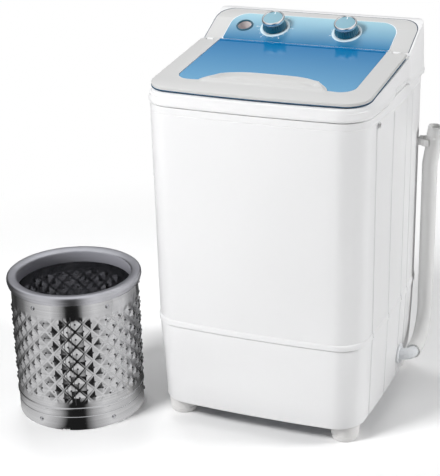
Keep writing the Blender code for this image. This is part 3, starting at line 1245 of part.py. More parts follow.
def make_basket():
    place = at(BASKET_X, BASKET_Y)
    rings, first, rows = basket_shell_rings()
    verts, faces = loft(rings)
    columns = len(rings[0])
    split = []
    for face in faces:
        row, i = divmod(face[0], columns)
        j = row - first
        if not 0 <= j < rows:
            split.append(face)
        elif (i + j) % 2 == 0:
            split += [(face[0], face[1], face[3]), (face[1], face[2], face[3])]
        else:
            split += [(face[0], face[1], face[2]), (face[0], face[2], face[3])]
    finish("basket_shell", verts, split, STEEL, place, sharp=8)
    inner = BASKET_R - BASKET_WALL - DIAMOND_IN - GAP
    top = BASKET_H
    slot = top - RIM_ROUND - RIM_ROUND / 2.0 + GAP
    low = top - RIM_SKIRT - RIM_ROUND
    skirt = BASKET_R + 3.0 * GAP
    soft_share, slope_share = 0.3, 0.2
    soft = RIM_ROUND * soft_share
    profile = [(skirt, low), (RIM_R - RIM_ROUND / 2.0, low), (RIM_R, top - RIM_SKIRT),
               (RIM_R, top - RIM_ROUND), (RIM_R - soft, top - soft), (RIM_R - RIM_ROUND, top),
               (RIM_IN_R + RIM_ROUND, top - RIM_ROUND * slope_share), (RIM_IN_R, top - RIM_ROUND),
               (RIM_IN_R, top - RIM_H), (inner, top - RIM_H), (inner, slot), (skirt, slot)]
    finish("basket_balance_ring", *turned(profile), RIM_GREY, place)
    lift = BASKET_BASE_LIFT
    floor = lift + BASKET_BASE_T
    rim = BASKET_R - lift
    band = BASKET_BAND_H
    tongue = band + BASKET_TONGUE
    bore = SHAFT_R + PULSATOR_WALL
    profile = [(bore, lift), (rim, lift), (rim, 0.0), (BASKET_R, 0.0), (BASKET_R, band), (inner, band),
               (inner, tongue), (inner - BASKET_BASE_T / 2.0, tongue), (inner - BASKET_BASE_T / 2.0, floor),
               (BASKET_HUB_R, floor), (BASKET_HUB_R, BASKET_HUB_H), (bore, BASKET_HUB_H)]
    base = finish("basket_base", *turned(profile), STEEL, place)
    cut = block((NOTCH_DEPTH * 2.0, NOTCH_W, NOTCH_H * 2.0), (BASKET_R, 0.0, 0.0))
    notch = finish("base_notch", *cut, STEEL, place @ Matrix.Rotation(math.radians(NOTCH_ANGLE), 4, "Z"))
    applied(boolean(base, notch))


def centre_row():
    """Moves the row so that its origin is the middle of its box, on the floor."""
    bpy.context.view_layer.update()
    graph = bpy.context.evaluated_depsgraph_get()
    low = [math.inf] * 3
    high = [-math.inf] * 3
    for obj in bpy.data.objects:
        if obj.type != "MESH" or obj.hide_render:
            continue
        for vert in obj.evaluated_get(graph).data.vertices:
            place = obj.matrix_world @ vert.co
            low = [min(a, b) for a, b in zip(low, place)]
            high = [max(a, b) for a, b in zip(high, place)]
    ROW.location = (-(low[0] + high[0]) / 2.0, -(low[1] + high[1]) / 2.0, -low[2])
    bpy.context.view_layer.update()


# Values worked out from the sizes
LEDGE_Z = BOTTOM_Z + PLATE_T + GAP
HINGE_V = LID_LENGTH - HINGE_BACK
CONSOLE_TILT = math.atan2(CONSOLE_TOP_Z - CONSOLE_Z, CONSOLE_TOP_Y - CONSOLE_Y)
CONSOLE = at(0.0, CONSOLE_Y, CONSOLE_Z) @ Matrix.Rotation(CONSOLE_TILT, 4, "X")
LID = at(0.0, DECK_FRONT_Y, DECK_FRONT_Z) @ Matrix.Rotation(math.atan(DECK_SLOPE), 4, "X")
ALONG_X = Matrix.Rotation(math.radians(90.0), 4, "Y")

for old in list(bpy.data.objects):
    bpy.data.objects.remove(old)
ROW = bpy.data.objects.new("row", None)
bpy.context.collection.objects.link(ROW)

WHITE = material("white_plastic", (0.88, 0.88, 0.88), 0.30)
COVER_WHITE = material("rear_plastic", (0.80, 0.80, 0.80), 0.45)
TUB_WHITE = material("tub_plastic", (0.82, 0.84, 0.86), 0.35)
RING_WHITE = material("pale_ring", (0.80, 0.88, 0.92), 0.30)
HOSE_WHITE = material("hose_white", (0.84, 0.84, 0.83), 0.45)
FOOT_GREY = material("foot_plastic", (0.74, 0.74, 0.73), 0.55)
BLUE = material("blue_panel", (0.06, 0.30, 0.62), 0.12)
TEAL = material("teal_plastic", (0.02, 0.16, 0.26), 0.20)
CHROME = material("chrome", (0.80, 0.82, 0.84), 0.12, 1.0)
STEEL = material("stainless", (0.62, 0.62, 0.63), 0.25, 1.0)
RIM_GREY = material("rim_grey", (0.50, 0.50, 0.52), 0.35)
STEEL_GREY = material("painted_steel", (0.45, 0.46, 0.48), 0.50, 0.6)
DARK_GREY = material("dark_plastic", (0.08, 0.08, 0.09), 0.50)
RUBBER = material("rubber", (0.03, 0.03, 0.03), 0.80)

make_cabinet()
make_base_housing()
make_base_plate()
make_feet()
make_tub()
make_top_frame()
make_console()
make_controls()
make_lid()
make_drive()
make_drain()
make_rear()
make_basket()
centre_row()
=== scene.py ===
"""Looks of the portable washing machine and its spin basket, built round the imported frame."""
import math
from math import cos, pi, radians, sin

import bmesh
import bpy
from mathutils import Matrix, Vector


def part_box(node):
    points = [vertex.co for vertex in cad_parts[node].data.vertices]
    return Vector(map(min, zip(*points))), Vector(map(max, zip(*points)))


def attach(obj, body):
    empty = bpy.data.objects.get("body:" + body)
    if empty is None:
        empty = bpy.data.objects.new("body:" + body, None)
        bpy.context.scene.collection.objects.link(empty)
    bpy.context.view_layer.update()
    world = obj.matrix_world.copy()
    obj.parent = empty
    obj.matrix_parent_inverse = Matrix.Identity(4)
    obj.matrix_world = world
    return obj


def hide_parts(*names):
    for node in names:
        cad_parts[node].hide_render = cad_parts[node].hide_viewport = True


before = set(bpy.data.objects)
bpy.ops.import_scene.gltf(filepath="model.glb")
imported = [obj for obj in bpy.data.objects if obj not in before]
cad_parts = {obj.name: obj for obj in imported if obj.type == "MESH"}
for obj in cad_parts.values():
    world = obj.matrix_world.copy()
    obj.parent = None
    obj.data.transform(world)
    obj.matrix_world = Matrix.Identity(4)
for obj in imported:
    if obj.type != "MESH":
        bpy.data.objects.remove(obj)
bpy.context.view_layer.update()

MM = 0.001


def middle(node):
    low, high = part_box(node)
    return (low[0] + high[0]) / 2, (low[1] + high[1]) / 2


# The machine's own centre on the floor, and the basket's, read from the frame
MACHINE_X, MACHINE_Y = middle("cabinet")
BASKET_X, BASKET_Y = middle("basket_balance_ring")
CAB_LOW, CAB_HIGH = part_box("cabinet")
HALF = (CAB_HIGH[1] - CAB_LOW[1]) / 2
BELT_Z = CAB_LOW[2]
BOTTOM_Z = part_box("base_housing")[0][2]
SEAM_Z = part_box("top_frame")[0][2]

# Body form
CORNER_R = 44 * MM
BOW = 7 * MM
STRAIGHTEN = 1 / (1 - BOW / HALF)
BELT_IN = 1.5 * MM
BOTTOM_IN = 6.7 * MM
BELT_H = 10.4 * MM
BELT_OUT = 1.6 * MM
HEM_GAP = 1.2 * MM
CREASE_Z = 547 * MM
CREASE_OUT = 0.7 * MM
BASE_EDGE = 2 * MM
BASE_JOINT = 0.3 * MM
GROOVE_YS = (-120 * MM, -36 * MM, 43 * MM, 84 * MM)
GROOVE_W = 6 * MM
GROOVE_DEPTH = 6 * MM
GROOVE_TOP_Z = 537 * MM
GROOVE_FADE = 7 * MM
ARCH_MID_Y = 4 * MM
ARCH_HALF = 57 * MM
ARCH_RISE = 9 * MM
ARCH_OUT = 2.2 * MM
ARCH_FADE_Z = 420 * MM
ARCH_SHARP = 2.2
WALL = 2.5 * MM

# Top frame and console
SEAM_GAP = 1.1 * MM
LIP_OUT = 2 * MM
LIP_H = 6.5 * MM
SHOULDER_H = 14.5 * MM
FRAME_IN = 3.5 * MM
FRAME_EDGE = 2 * MM
SEAT_Z = SEAM_Z + 9 * MM
DECK_Y = -178 * MM
DECK_Z = 579.5 * MM
DECK_SLOPE = 0.110
CONSOLE_Y = 68.5 * MM
CONSOLE_Z = 611.3 * MM
CONSOLE_STEP = 1.5 * MM
CONSOLE_TOP_Y = 137 * MM
CONSOLE_TOP_Z = 643.2 * MM
CROWN = ((150 * MM, 648 * MM), (158 * MM, 649.5 * MM), (168 * MM, 648 * MM), (177 * MM, 642 * MM),
         (183 * MM, 634 * MM), (191 * MM, 616 * MM))
MOUTH_Y = -56 * MM
MOUTH_R = 117 * MM
SKIRT_TOP_Z = DECK_Z + 8 * MM
BEZEL_HALF = 182.5 * MM
BEZEL_R = 30 * MM
BEZEL_REAR_Y = 150 * MM
BEZEL_T = 3 * MM
BEZEL_SOFT = 0.8 * MM
OVERLAY_HALF = 149 * MM
OVERLAY_L = 74.5 * MM
OVERLAY_R = 30 * MM
OVERLAY_FOOT_R = 4 * MM
KNOB_X = 65 * MM
KNOB_V = 40 * MM
INLET_X = -121 * MM
HOLE_RADII = ((-KNOB_X, 6 * MM), (KNOB_X, 6 * MM), (INLET_X, 14 * MM))
FLUTES = 30
FLUTE_DEPTH = 0.75 * MM
FLUTE_SHARES = (0, 0, 0.35, 1, 1, 0.9, 0, 0, 0, 0, 0)

# Print round the knobs: place, first angle, sweep and number of the ticks
DIALS = ((-KNOB_X, 120, 300, 16), (KNOB_X, 112.5, 90, 4))
TICK_R = 27.2 * MM
TICK_LONG = 3 * MM
TICK_SHORT = 1.8 * MM
TICK_HALF = 0.3 * MM
PRINT_Z = 1.56 * MM
PRINT_T = 0.2 * MM
NUMBER_R = 32.5 * MM
NUMBER_SIZE = 4.2 * MM
NUMBER_T = 0.06 * MM

# Lid, along the deck's slope from its front edge
LID_HALF = 184 * MM
LID_R = 36 * MM
LID_REAR_R = 6 * MM
LID_L = 240.5 * MM
LID_LOW = 3.1 * MM
LID_HIGH = 8.3 * MM
LID_SOFT = 1.8 * MM
PANEL_OUT = 0.5 * MM
PANEL_SHORT = 9 * MM
PANEL_LOW = 0.6 * MM
PANEL_HIGH = 2.8 * MM
PANEL_EDGE = 0.4 * MM
WINDOW_HALF = 150 * MM
WINDOW_FRONT = 48 * MM
WINDOW_REAR = 236 * MM
WINDOW_R = 25 * MM
WINDOW_BACK_R = 3 * MM
STRIP_HALF = 150 * MM
HINGE_X = 166 * MM
HINGE_V = 237.5 * MM

# Finger grip: a rim round a dished panel with a ridge along its front
GRIP_HALF = 108 * MM
GRIP_TOP_HALF = 78 * MM
GRIP_L = 50 * MM
GRIP_RIM = 3 * MM
GRIP_DISH_FRONT = 40 * MM
GRIP_DISH = 4.5 * MM
GRIP_RISE = 13 * MM
GRIP_RIM_H = 1.6 * MM
GRIP_RIM_W = 2.4 * MM
GRIP_SOFT = 9 * MM
GRIP_FALL = 7 * MM
GRIP_BACKSET = 14 * MM
GRIP_RIDGE = 3.2 * MM
GRIP_RIDGE_W = 5 * MM
GRIP_POCKET_Z = 3.7 * MM
GRIP_SIDE_SHARE = 0.8

# Hose, on the machine's right side
HOSE_R = 13.5 * MM
HOSE_BORE = 11 * MM
HOSE_RING_IN = 0.25 * MM
HOSE_STEP = 2 * MM
CUFF_R = 15 * MM
CUFF_STEPS = 7
HOSE_CUFF = 22 * MM
HOSE_X = 206.5 * MM
HOSE_Y = 145 * MM
HOSE_Z = 70 * MM
HOSE_END_Y = 70 * MM
HOSE_BEND = 60 * MM
HOSE_TOP_Z = 466 * MM
HOSE_LEAN_Z = 400 * MM
HOSE_LEAN = 10 * MM

# Rear cover and side screw
LOUVRES = 9
LOUVRE_OUT = 1.1 * MM
LOUVRE_HALF_SHARE = 0.40
LOUVRE_START_SHARE = 0.14
LOUVRE_SPAN_SHARE = 0.72
COVER_IN = 0.5 * MM
COVER_OUT = 2.3 * MM
SIDE_SCREW_Y = -113 * MM
SIDE_SCREW_Z = 541 * MM
SIDE_SCREW_IN = 0.5 * MM

# Basket
BASKET_H = 250 * MM
BASKET_R = 109 * MM
SHEET = 0.9 * MM
RIM_INSIDE_R = 97.5 * MM
COLUMNS = 26
ROWS = 6
DIAMOND_Z0 = 48 * MM
DIAMOND_Z1 = 212 * MM
DIAMOND_SPAN = DIAMOND_Z1 - DIAMOND_Z0
DIAMOND_OUT = 2.2 * MM
DIAMOND_IN = 1.2 * MM
CREASE_SHARE = 0.86
CREASE_RISE_SHARE = 0.25
RIDGE_ZS = (26, 36.6, 37.6, 39, 40.4, 41.8, 43)
RIDGE_Z = 40 * MM
RIDGE_HALF = 3.4 * MM
RIDGE_OUT = 1.6 * MM
WALL_TOP_Z = BASKET_H - 5 * MM
HOLE_R = 1.7 * MM
HOLE_LIFT = 1 * MM
HOLE_PROUD = 0.35 * MM
HOLE_SIDES = 12
WELD_ANGLES = (-72.5, -66)
WELD_R = 0.45 * MM
WELD_OUT = 0.1 * MM
NOTCH_ANGLE = -77
RIVET_ANGLES = (-101, -32, 30, 95, 160)
RIVET_ZS = (222 * MM, 14 * MM)

# Studio
IMAGE_W = 440
IMAGE_H = 476
SENSOR = 36
FOCAL = 1328.35
CENTRE_X = 255.52
CENTRE_Y = 234.90
CAMERA_RIGHT = (0.93067, 0.36559, -0.01437)
CAMERA_BACK = (0.34485, -0.86342, 0.36822)
CAMERA_PLACE = (0.73818, -2.01193, 1.14140)
CAMERA_SIDE = 68.2
STUDIO_STOPS = ((0.055, 0.02), (0.115, 0.60), (0.20, 1), (0.40, 0.70), (0.52, 0.22), (0.64, 0.05),
                (0.85, 0.08))
STUDIO_FRONT = (0.02, 0.02, 0.02, 1)
STUDIO_BACK = (0.32, 0.32, 0.34, 1)
OVERHEAD = (0.92, 0.93, 0.95, 1)
OVERHEAD_LOW = 0.30
OVERHEAD_HIGH = 0.75
AMBIENT_SHARE = 0.17
PAPER_WHITE = (1, 1, 1, 1)
FLOOR_WHITE = (0.9, 0.9, 0.9, 1)
FLOOR_SIZE = 12
FLOOR_DROP = 0.2 * MM
FLOOR_NEAR = 0.70
FLOOR_FAR = 1.20
LAMP_AIM = (MACHINE_X / 2, 0, 0.30)
LAMPS = (("key_front", (-1.30, -2.10, 2.50), (0.9, 0.9), 88),
         ("fill_left", (-2.6, -1.2, 1.2), (1.2, 1.2), 4),
         ("side_right", (3, 0.9, 1.6), (0.8, 1.2), 62),
         ("top_back", (-0.9, 1, 2.7), (0.8, 0.8), 20))

# Steps along and round curves
ARC = 14
ROUND = 96
ROUND_FINE = 192
FACE_STEPS = 10
SIDE_STEPS = 12
RIB_STEPS = 4
FRAME_STEPS = 36
BODY_ROWS = 4
FADE_ROWS = 5
BASE_ROWS = 3
DIAMOND_STEPS = 8
COVER_ROWS = 60
COVER_COLUMNS = 32
JOIN = 0.002 * MM
QUARTER = [radians(90 * i / ARC) for i in range(ARC + 1)]


def at(x, y, z=0):
    return Matrix.Translation((x, y, z))


MACHINE = at(MACHINE_X, MACHINE_Y)
BASKET = at(BASKET_X, BASKET_Y)
LID = MACHINE @ at(0, DECK_Y, DECK_Z) @ Matrix.Rotation(math.atan(DECK_SLOPE), 4, "X")
CONSOLE_TILT = math.atan2(CONSOLE_TOP_Z - CONSOLE_Z, CONSOLE_TOP_Y - CONSOLE_Y)
CONSOLE = MACHINE @ at(0, CONSOLE_Y, CONSOLE_Z) @ Matrix.Rotation(CONSOLE_TILT, 4, "X")


def smooth(t):
    t = min(max(t, 0), 1)
    return t * t * (3 - 2 * t)


def add_object(name, data, place):
    obj = bpy.data.objects.new(name, data)
    bpy.context.collection.objects.link(obj)
    obj.matrix_world = place
    return obj


def set_camera():
    """The camera fitted to the photograph's outlines."""
    data = bpy.data.cameras.new("camera")
    back = Vector(CAMERA_BACK).normalized()
    up = back.cross(Vector(CAMERA_RIGHT)).normalized()
    place = Matrix((up.cross(back), up, back)).transposed().to_4x4()
    place.translation = Vector(CAMERA_PLACE) + Vector((MACHINE_X, MACHINE_Y, 0))
    data.sensor_width = SENSOR
    data.lens = FOCAL / IMAGE_H * SENSOR
    data.shift_x = (IMAGE_W / 2 - CENTRE_X) / IMAGE_H
    data.shift_y = (CENTRE_Y - IMAGE_H / 2) / IMAGE_H
    bpy.context.scene.camera = add_object("camera", data, place)
    bpy.context.scene.view_settings.view_transform = "Standard"


def add_node(tree, kind, *places, **values):
    """A node, with its settings and inputs. An input takes a number, a colour or another node's output.
    Unnamed values go to the inputs in order."""
    node = tree.nodes.new("ShaderNode" + kind)
    named = {key.replace("_", " "): value for key, value in values.items()}
    for key, value in values.items():
        if key.replace("_", " ") not in node.inputs:
            setattr(node, key, value)
            del named[key.replace("_", " ")]
    for key, value in (*enumerate(places), *named.items()):
        if isinstance(value, bpy.types.NodeSocket):
            tree.links.new(value, node.inputs[key])
        else:
            node.inputs[key].default_value = value
    return node


def sums(tree, operation, *values):
    return add_node(tree, "Math", *values, operation=operation).outputs[0]


def coordinates(tree, kind="Object"):
    return add_node(tree, "TexCoord").outputs[kind]


def ranged(tree, source, **limits):
    return add_node(tree, "MapRange", Value=source, **limits).outputs["Result"]


def blend_colours(tree, share, low, high):
    return add_node(tree, "Mix", data_type="RGBA", Factor=share, A=low, B=high).outputs["Result"]


def noise(tree, scale, detail=4, stretch=None):
    """Noise in the object's own coordinates, which may be stretched along its axes."""
    place = coordinates(tree)
    if stretch:
        place = add_node(tree, "Mapping", Vector=place, Scale=stretch).outputs[0]
    return add_node(tree, "TexNoise", Vector=place, Scale=scale, Detail=detail).outputs["Fac"]


def ramp(tree, source, low, high, a=0.35, b=0.65):
    """Two colours, or two levels, over a stretch of a value."""
    node = add_node(tree, "ValToRGB", Fac=source)
    for stop, position, value in zip(node.color_ramp.elements, (a, b), (low, high)):
        stop.position = position
        stop.color = (*value, 1) if isinstance(value, tuple) else (value, value, value, 1)
    return node.outputs["Color"]


def new_material(name, roughness, metallic=0, coat=0):
    mat = bpy.data.materials.new(name)
    mat.use_nodes = True
    shader = mat.node_tree.nodes["Principled BSDF"]
    shader.inputs["Roughness"].default_value = roughness
    shader.inputs["Metallic"].default_value = metallic
    shader.inputs["Coat Weight"].default_value = coat
    return mat, mat.node_tree, shader


def finish_material(tree, shader, colour, gloss, height, strength, distance):
    """Joins a colour, a roughness and a relief to the shader."""
    relief = add_node(tree, "Bump", Strength=strength, Distance=distance, Height=height)
    for key, source in (("Base Color", colour), ("Roughness", gloss), ("Normal", relief.outputs["Normal"])):
        tree.links.new(source, shader.inputs[key])


def plastic(name, colour, roughness=0.3, grain=900, relief=0.04, tint=0.02, coat=0, spread=0.06):
    """Moulded plastic: faint mottling of colour and gloss, and a fine skin texture."""
    mat, tree, shader = new_material(name, roughness, coat=coat)
    darker = tuple(c * (1 - tint) for c in colour)
    finish_material(tree, shader, ramp(tree, noise(tree, 6, 3), darker, colour),
                    ramp(tree, noise(tree, 45, 5), roughness - spread, roughness + spread),
                    noise(tree, grain, 2), relief, 0.2 * MM)
    return mat


def tinted_sheet(name, deep, light, y0, y1, roughness=0.10):
    """Glossy tinted sheet whose colour runs from its front to its rear, in the sheet's own frame."""
    mat, tree, shader = new_material(name, roughness)
    shader.inputs["Specular IOR Level"].default_value = 0.3
    split = add_node(tree, "SeparateXYZ", coordinates(tree))
    share = ranged(tree, split.outputs["Y"], From_Min=y0, From_Max=y1)
    mixed = sums(tree, "MULTIPLY_ADD", noise(tree, 14, 3), 0.05, share)
    finish_material(tree, shader, ramp(tree, mixed, deep, light, 0, 1),
                    ramp(tree, noise(tree, 60, 4), roughness * 0.7, roughness * 1.5),
                    noise(tree, 30, 2), 0.02, 0.3 * MM)
    return mat


def metal(name, colour, roughness, streak=(4, 4, 900), relief=0.05, spread=0.08):
    """Metal with fine drawn streaks round it and a cloudy polish."""
    mat, tree, shader = new_material(name, roughness, 1)
    lines = noise(tree, 1, 6, streak)
    darker = tuple(c * 0.88 for c in colour)
    gloss = ramp(tree, noise(tree, 25), max(roughness - spread, 0.03), roughness + spread, 0.3, 0.7)
    finish_material(tree, shader, ramp(tree, lines, darker, colour, 0.3, 0.7), gloss, lines, relief, 0.1 * MM)
    return mat


EVEN = (40, 40, 40)
WHITE = plastic("white_shell", (0.88, 0.88, 0.885), 0.30, 220, 0.012, 0.008, spread=0.02)
# A darker copy of the white plastic, whose grey is painted shade on the lid frame, finger grip, console
# bezel, rear cover and screw well.
SHADED_WHITE = plastic("white_border", (0.62, 0.62, 0.615), 0.31, 220, 0.012, 0.008, spread=0.02)
INSIDE = plastic("tub_white", (0.84, 0.86, 0.88), 0.36)
HOSE = plastic("hose_white", (0.83, 0.83, 0.82), 0.42, grain=500, relief=0.03, spread=0.03)
FOOT = plastic("foot_white", (0.80, 0.79, 0.78), 0.50, relief=0.10)
PALE = plastic("pale_ring", (0.72, 0.86, 0.93), 0.22, coat=0.3)
PORT = plastic("port_inside", (0.78, 0.72, 0.72), 0.35)
TEAL = plastic("teal_knob", (0.010, 0.10, 0.16), 0.12, coat=1, relief=0.01, spread=0.03)
# Dark navy: a dark joint round the console bezel, and painted shade of the gap on the lid panel's front and
# side edges.
JOINT_AND_GAP_SHADE = plastic("panel_edge", (0.012, 0.038, 0.075), 0.36)
DARK = plastic("dark_moulding", (0.05, 0.05, 0.055), 0.45, relief=0.08)
RUBBER = plastic("black_rubber", (0.018, 0.018, 0.018), 0.65, relief=0.12)
# Near-black for the plugs in the basket's holes: painted shade where the holes are.
HOLE_SHADE = plastic("hole_dark", (0.02, 0.02, 0.022), 0.60)
# White for print, and for painted highlights along the edges of the console overlay and the lid window.
PRINT_AND_HIGHLIGHT_WHITE = plastic("print_white", (0.92, 0.94, 0.96), 0.40)
CAST = plastic("coated_steel", (0.34, 0.35, 0.37), 0.42, grain=300, relief=0.15)
WINDOW = tinted_sheet("window_blue", (0.13, 0.36, 0.58), (0, 0.175, 0.42), WINDOW_FRONT, WINDOW_REAR)
OVERLAY = tinted_sheet("console_blue", (0, 0.165, 0.38), (0.36, 0.60, 0.70), 0, OVERLAY_L, 0.14)
CHROME = metal("chrome", (0.86, 0.87, 0.88), 0.06, EVEN, 0.01, 0.02)
DISC = plastic("knob_disc", (0.22, 0.43, 0.53), 0.16, coat=0.6, spread=0.03)
STEEL = metal("stainless_body", (0.60, 0.60, 0.61), 0.15, (4, 4, 500), 0.03, 0.04)
STEEL_IN = metal("stainless_inside", (0.50, 0.50, 0.52), 0.20, spread=0.05)
RIM = plastic("rim_grey", (0.36, 0.36, 0.40), 0.30, relief=0.01, spread=0.01)
RIM_BAND = metal("rim_band", (0.60, 0.60, 0.635), 0.31, EVEN, 0.01, 0.02)


def new_object(name, verts, faces, place, weld=0):
    """A linked object whose closed mesh has its normals outward."""
    mesh = bpy.data.meshes.new(name)
    mesh.from_pydata([Vector(v) for v in verts], [], faces)
    shape = bmesh.new()
    shape.from_mesh(mesh)
    if weld:
        bmesh.ops.remove_doubles(shape, verts=shape.verts, dist=weld)
    bmesh.ops.recalc_face_normals(shape, faces=shape.faces)
    shape.to_mesh(mesh)
    shape.free()
    return add_object(name, mesh, place)


def piece(name, solid, mat, body="root", place=MACHINE, sharp=40, replaces=(), slot="white_plastic",
          bevel=0):
    """A smooth-shaded mesh that rides on a body, with its sharp edges rounded by a bevel when a width is
    given.
    """
    obj = new_object(name, *solid, place, JOIN)
    obj.data.materials.append(mat)
    shade(obj, sharp)
    if bevel:
        add_bevel(obj, bevel)
    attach(obj, body)
    if replaces:
        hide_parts(*replaces)
    return obj


def shade(obj, sharp):
    obj.data.shade_smooth()
    obj.data.set_sharp_from_angle(angle=radians(sharp))


def add_bevel(obj, width):
    mod = obj.modifiers.new("edges", "BEVEL")
    mod.width = width
    mod.segments = 3
    mod.limit_method = "ANGLE"
    mod.angle_limit = radians(30)
    mod.harden_normals = True


def guide(name, solid, place=MACHINE):
    """A closed shape for cutting with."""
    return new_object(name, *solid, place)


def baked(obj):
    """What an object's modifiers or letters make, as a mesh."""
    bpy.context.view_layer.update()
    graph = bpy.context.evaluated_depsgraph_get()
    return bpy.data.meshes.new_from_object(obj.evaluated_get(graph))


def carved(name, solid, cutters, mat, body="root", place=MACHINE, **looks):
    """A piece with guides cut out of it for good, its guides removed."""
    shape = guide(name + "_uncut", solid, place)
    for cutter in cutters:
        mod = shape.modifiers.new(cutter.name, "BOOLEAN")
        mod.operation = "DIFFERENCE"
        mod.solver = "EXACT"
        mod.object = cutter
    mesh = baked(shape)
    verts = [v.co.copy() for v in mesh.vertices]
    faces = [tuple(p.vertices) for p in mesh.polygons]
    for obj in [shape, *cutters]:
        bpy.data.objects.remove(obj)
    return piece(name, (verts, faces), mat, body, place, **looks)


def second_material(obj, mat, chosen):
    """Gives the faces that are chosen another material."""
    obj.data.materials.append(mat)
    for face in obj.data.polygons:
        if chosen(face):
            face.material_index = 1


def in_mm(points, y=0):
    """Points given in millimetres, from a height."""
    return [(a * MM, y + b * MM) for a, b in points]


def full_turn(count):
    return [2 * pi * j / count for j in range(count)]


def polar(radius, angle, z=0):
    return radius * cos(angle), radius * sin(angle), z


def shares(count):
    return [i / count for i in range(count)]


def bend(x, y, radius, front=False):
    """A quarter turn about a centre, into a side from the front or out of a side to the rear."""
    if front:
        return [(x + radius * sin(t), y - radius * cos(t)) for t in QUARTER]
    return [(x + radius * cos(t), y + radius * sin(t)) for t in QUARTER]


def box(x0, x1, y0, y1):
    return [(x0, y0), (x1, y0), (x1, y1), (x0, y1)]


def mirrored(half):
    return half + [(-x, y) for x, y in reversed(half[1:-1])]


def lifted(points, height):
    """Puts plan points at a height, which may be a function of x and y."""
    return [(x, y, height(x, y) if callable(height) else height) for x, y in points]


def along(start, direction):
    return at(*start) @ Vector(direction).to_track_quat("Z", "Y").to_matrix().to_4x4()


def joined(solids):
    """Several closed shapes in one mesh."""
    verts = []
    faces = []
    for more, rings in solids:
        faces += [tuple(len(verts) + k for k in ring) for ring in rings]
        verts += more
    return verts, faces


def lathe(name, points, mat, steps=ROUND, y=0, **looks):
    """A turned piece from a table in millimetres."""
    return piece(name, turned(in_mm(points, y=y), steps), mat, **looks)


def loft(rings, closed=False, caps=True):
    """Skins rings of equal count; closed joins the last ring to the first."""
    count = len(rings[0])
    verts = [p for ring in rings for p in ring]
    faces = []
    for i in range(len(rings) if closed else len(rings) - 1):
        low = i * count
        high = ((i + 1) % len(rings)) * count
        for j in range(count):
            k = (j + 1) % count
            faces.append((low + j, low + k, high + k, high + j))
    if caps and not closed:
        last = (len(rings) - 1) * count
        faces += [tuple(range(count)), tuple(range(last, last + count))]
    return verts, faces


def prism(points, z0, z1):
    return loft([lifted(points, z0), lifted(points, z1)])


def turned(profile, steps=ROUND, wobble=None):
    """Turns (radius, height) points about Z. Points on the axis end it; otherwise it closes.
    wobble(row, angle) adds to the radius."""
    verts = []
    rows = []
    for i, (radius, z) in enumerate(profile):
        if radius == 0:
            rows.append([len(verts)])
            verts.append((0, 0, z))
            continue
        rows.append(list(range(len(verts), len(verts) + steps)))
        verts += [polar(radius + (wobble(i, a) if wobble else 0), a, z) for a in full_turn(steps)]
    pairs = list(zip(rows, rows[1:]))
    if profile[0][0] != 0:
        pairs.append((rows[-1], rows[0]))
    faces = []
    for low, high in pairs:
        for j in range(steps):
            k = (j + 1) % steps
            quad = [low[j % len(low)], low[k % len(low)], high[k % len(high)], high[j % len(high)]]
            face = tuple(dict.fromkeys(quad))
            if len(face) > 2:
                faces.append(face)
    return verts, faces


def swept(path, radii, steps, bore=0):
    """A round tube along points, with a radius for each; a bore makes it hollow."""
    side = None
    outer = []
    inner = []
    for i, p in enumerate(path):
        ahead = (path[min(i + 1, len(path) - 1)] - path[max(i - 1, 0)]).normalized()
        if side is None:
            side = ahead.orthogonal().normalized()
        side = (side - ahead * side.dot(ahead)).normalized()
        other = ahead.cross(side)
        spokes = [side * cos(t) + other * sin(t) for t in full_turn(steps)]
        outer.append([p + spoke * radii[i] for spoke in spokes])
        inner.append([p + spoke * bore for spoke in spokes])
    return loft(outer + inner[::-1], closed=True) if bore else loft(outer)


def slab(rows, columns, front, back):
    """A closed sheet between two grids, whose points are functions of row and column."""
    spots = [(i, j) for i in range(rows + 1) for j in range(columns + 1)]
    verts = [front(i, j) for i, j in spots] + [back(i, j) for i, j in spots]
    wide = columns + 1
    faces = [(i * wide + j, i * wide + j + 1, (i + 1) * wide + j + 1, (i + 1) * wide + j)
             for i in range(rows) for j in range(columns)]
    behind = len(spots)
    faces += [tuple(behind + k for k in reversed(face)) for face in faces]
    border = list(range(wide)) + [(i + 1) * wide + columns for i in range(rows)]
    border += [rows * wide + j for j in range(columns - 1, -1, -1)]
    border += [i * wide for i in range(rows - 1, 0, -1)]
    faces += [(b, a, behind + a, behind + b) for a, b in zip(border, border[1:] + border[:1])]
    return verts, faces


def strip_cap(ring, base):
    """Faces across a mirrored ring from its front to its rear, so that each runs level in x."""
    count = len(ring)
    half = count // 2
    ys = [p[1] for p in ring]
    faces = []
    start = 0
    for j in range(1, half + 1):
        level = abs(ys[j] - ys[start]) < JOIN or abs(ys[j] - ys[half]) < JOIN
        if level and j < half:
            continue
        right = list(range(start, j + 1))
        left = [(count - v) % count for v in reversed(right)]
        faces.append(tuple(base + v for v in dict.fromkeys(right + left)))
        start = j
    return faces


def skin(rings):
    """Skins mirrored rings and closes both ends with strips that follow their heights."""
    verts, faces = loft(rings, caps=False)
    last = (len(rings) - 1) * len(rings[0])
    return verts, faces + strip_cap(rings[0], 0) + strip_cap(rings[-1], last)


def groove_press(y, depth):
    """How far the side wall is pressed in at y by the upright ribs."""
    press = 0
    for centre in GROOVE_YS:
        off = abs(y - centre * STRAIGHTEN) / (GROOVE_W / 2)
        if off < 1:
            press = max(press, (1 + cos(pi * off)) / 2)
    return press * depth


def side_ys():
    """Points along the flat of a side, close together over the ribs."""
    end = HALF - CORNER_R
    ys = [-end + 2 * end * s for s in shares(SIDE_STEPS)] + [end]
    steps = 2 * RIB_STEPS
    for centre in GROOVE_YS:
        ys += [centre * STRAIGHTEN + GROOVE_W * (i / steps - 1 / 2) for i in range(steps + 1)]
    merged = []
    for y in sorted(ys):
        if not merged or y - merged[-1] > GROOVE_W / (3 * steps):
            merged.append(y)
    return merged


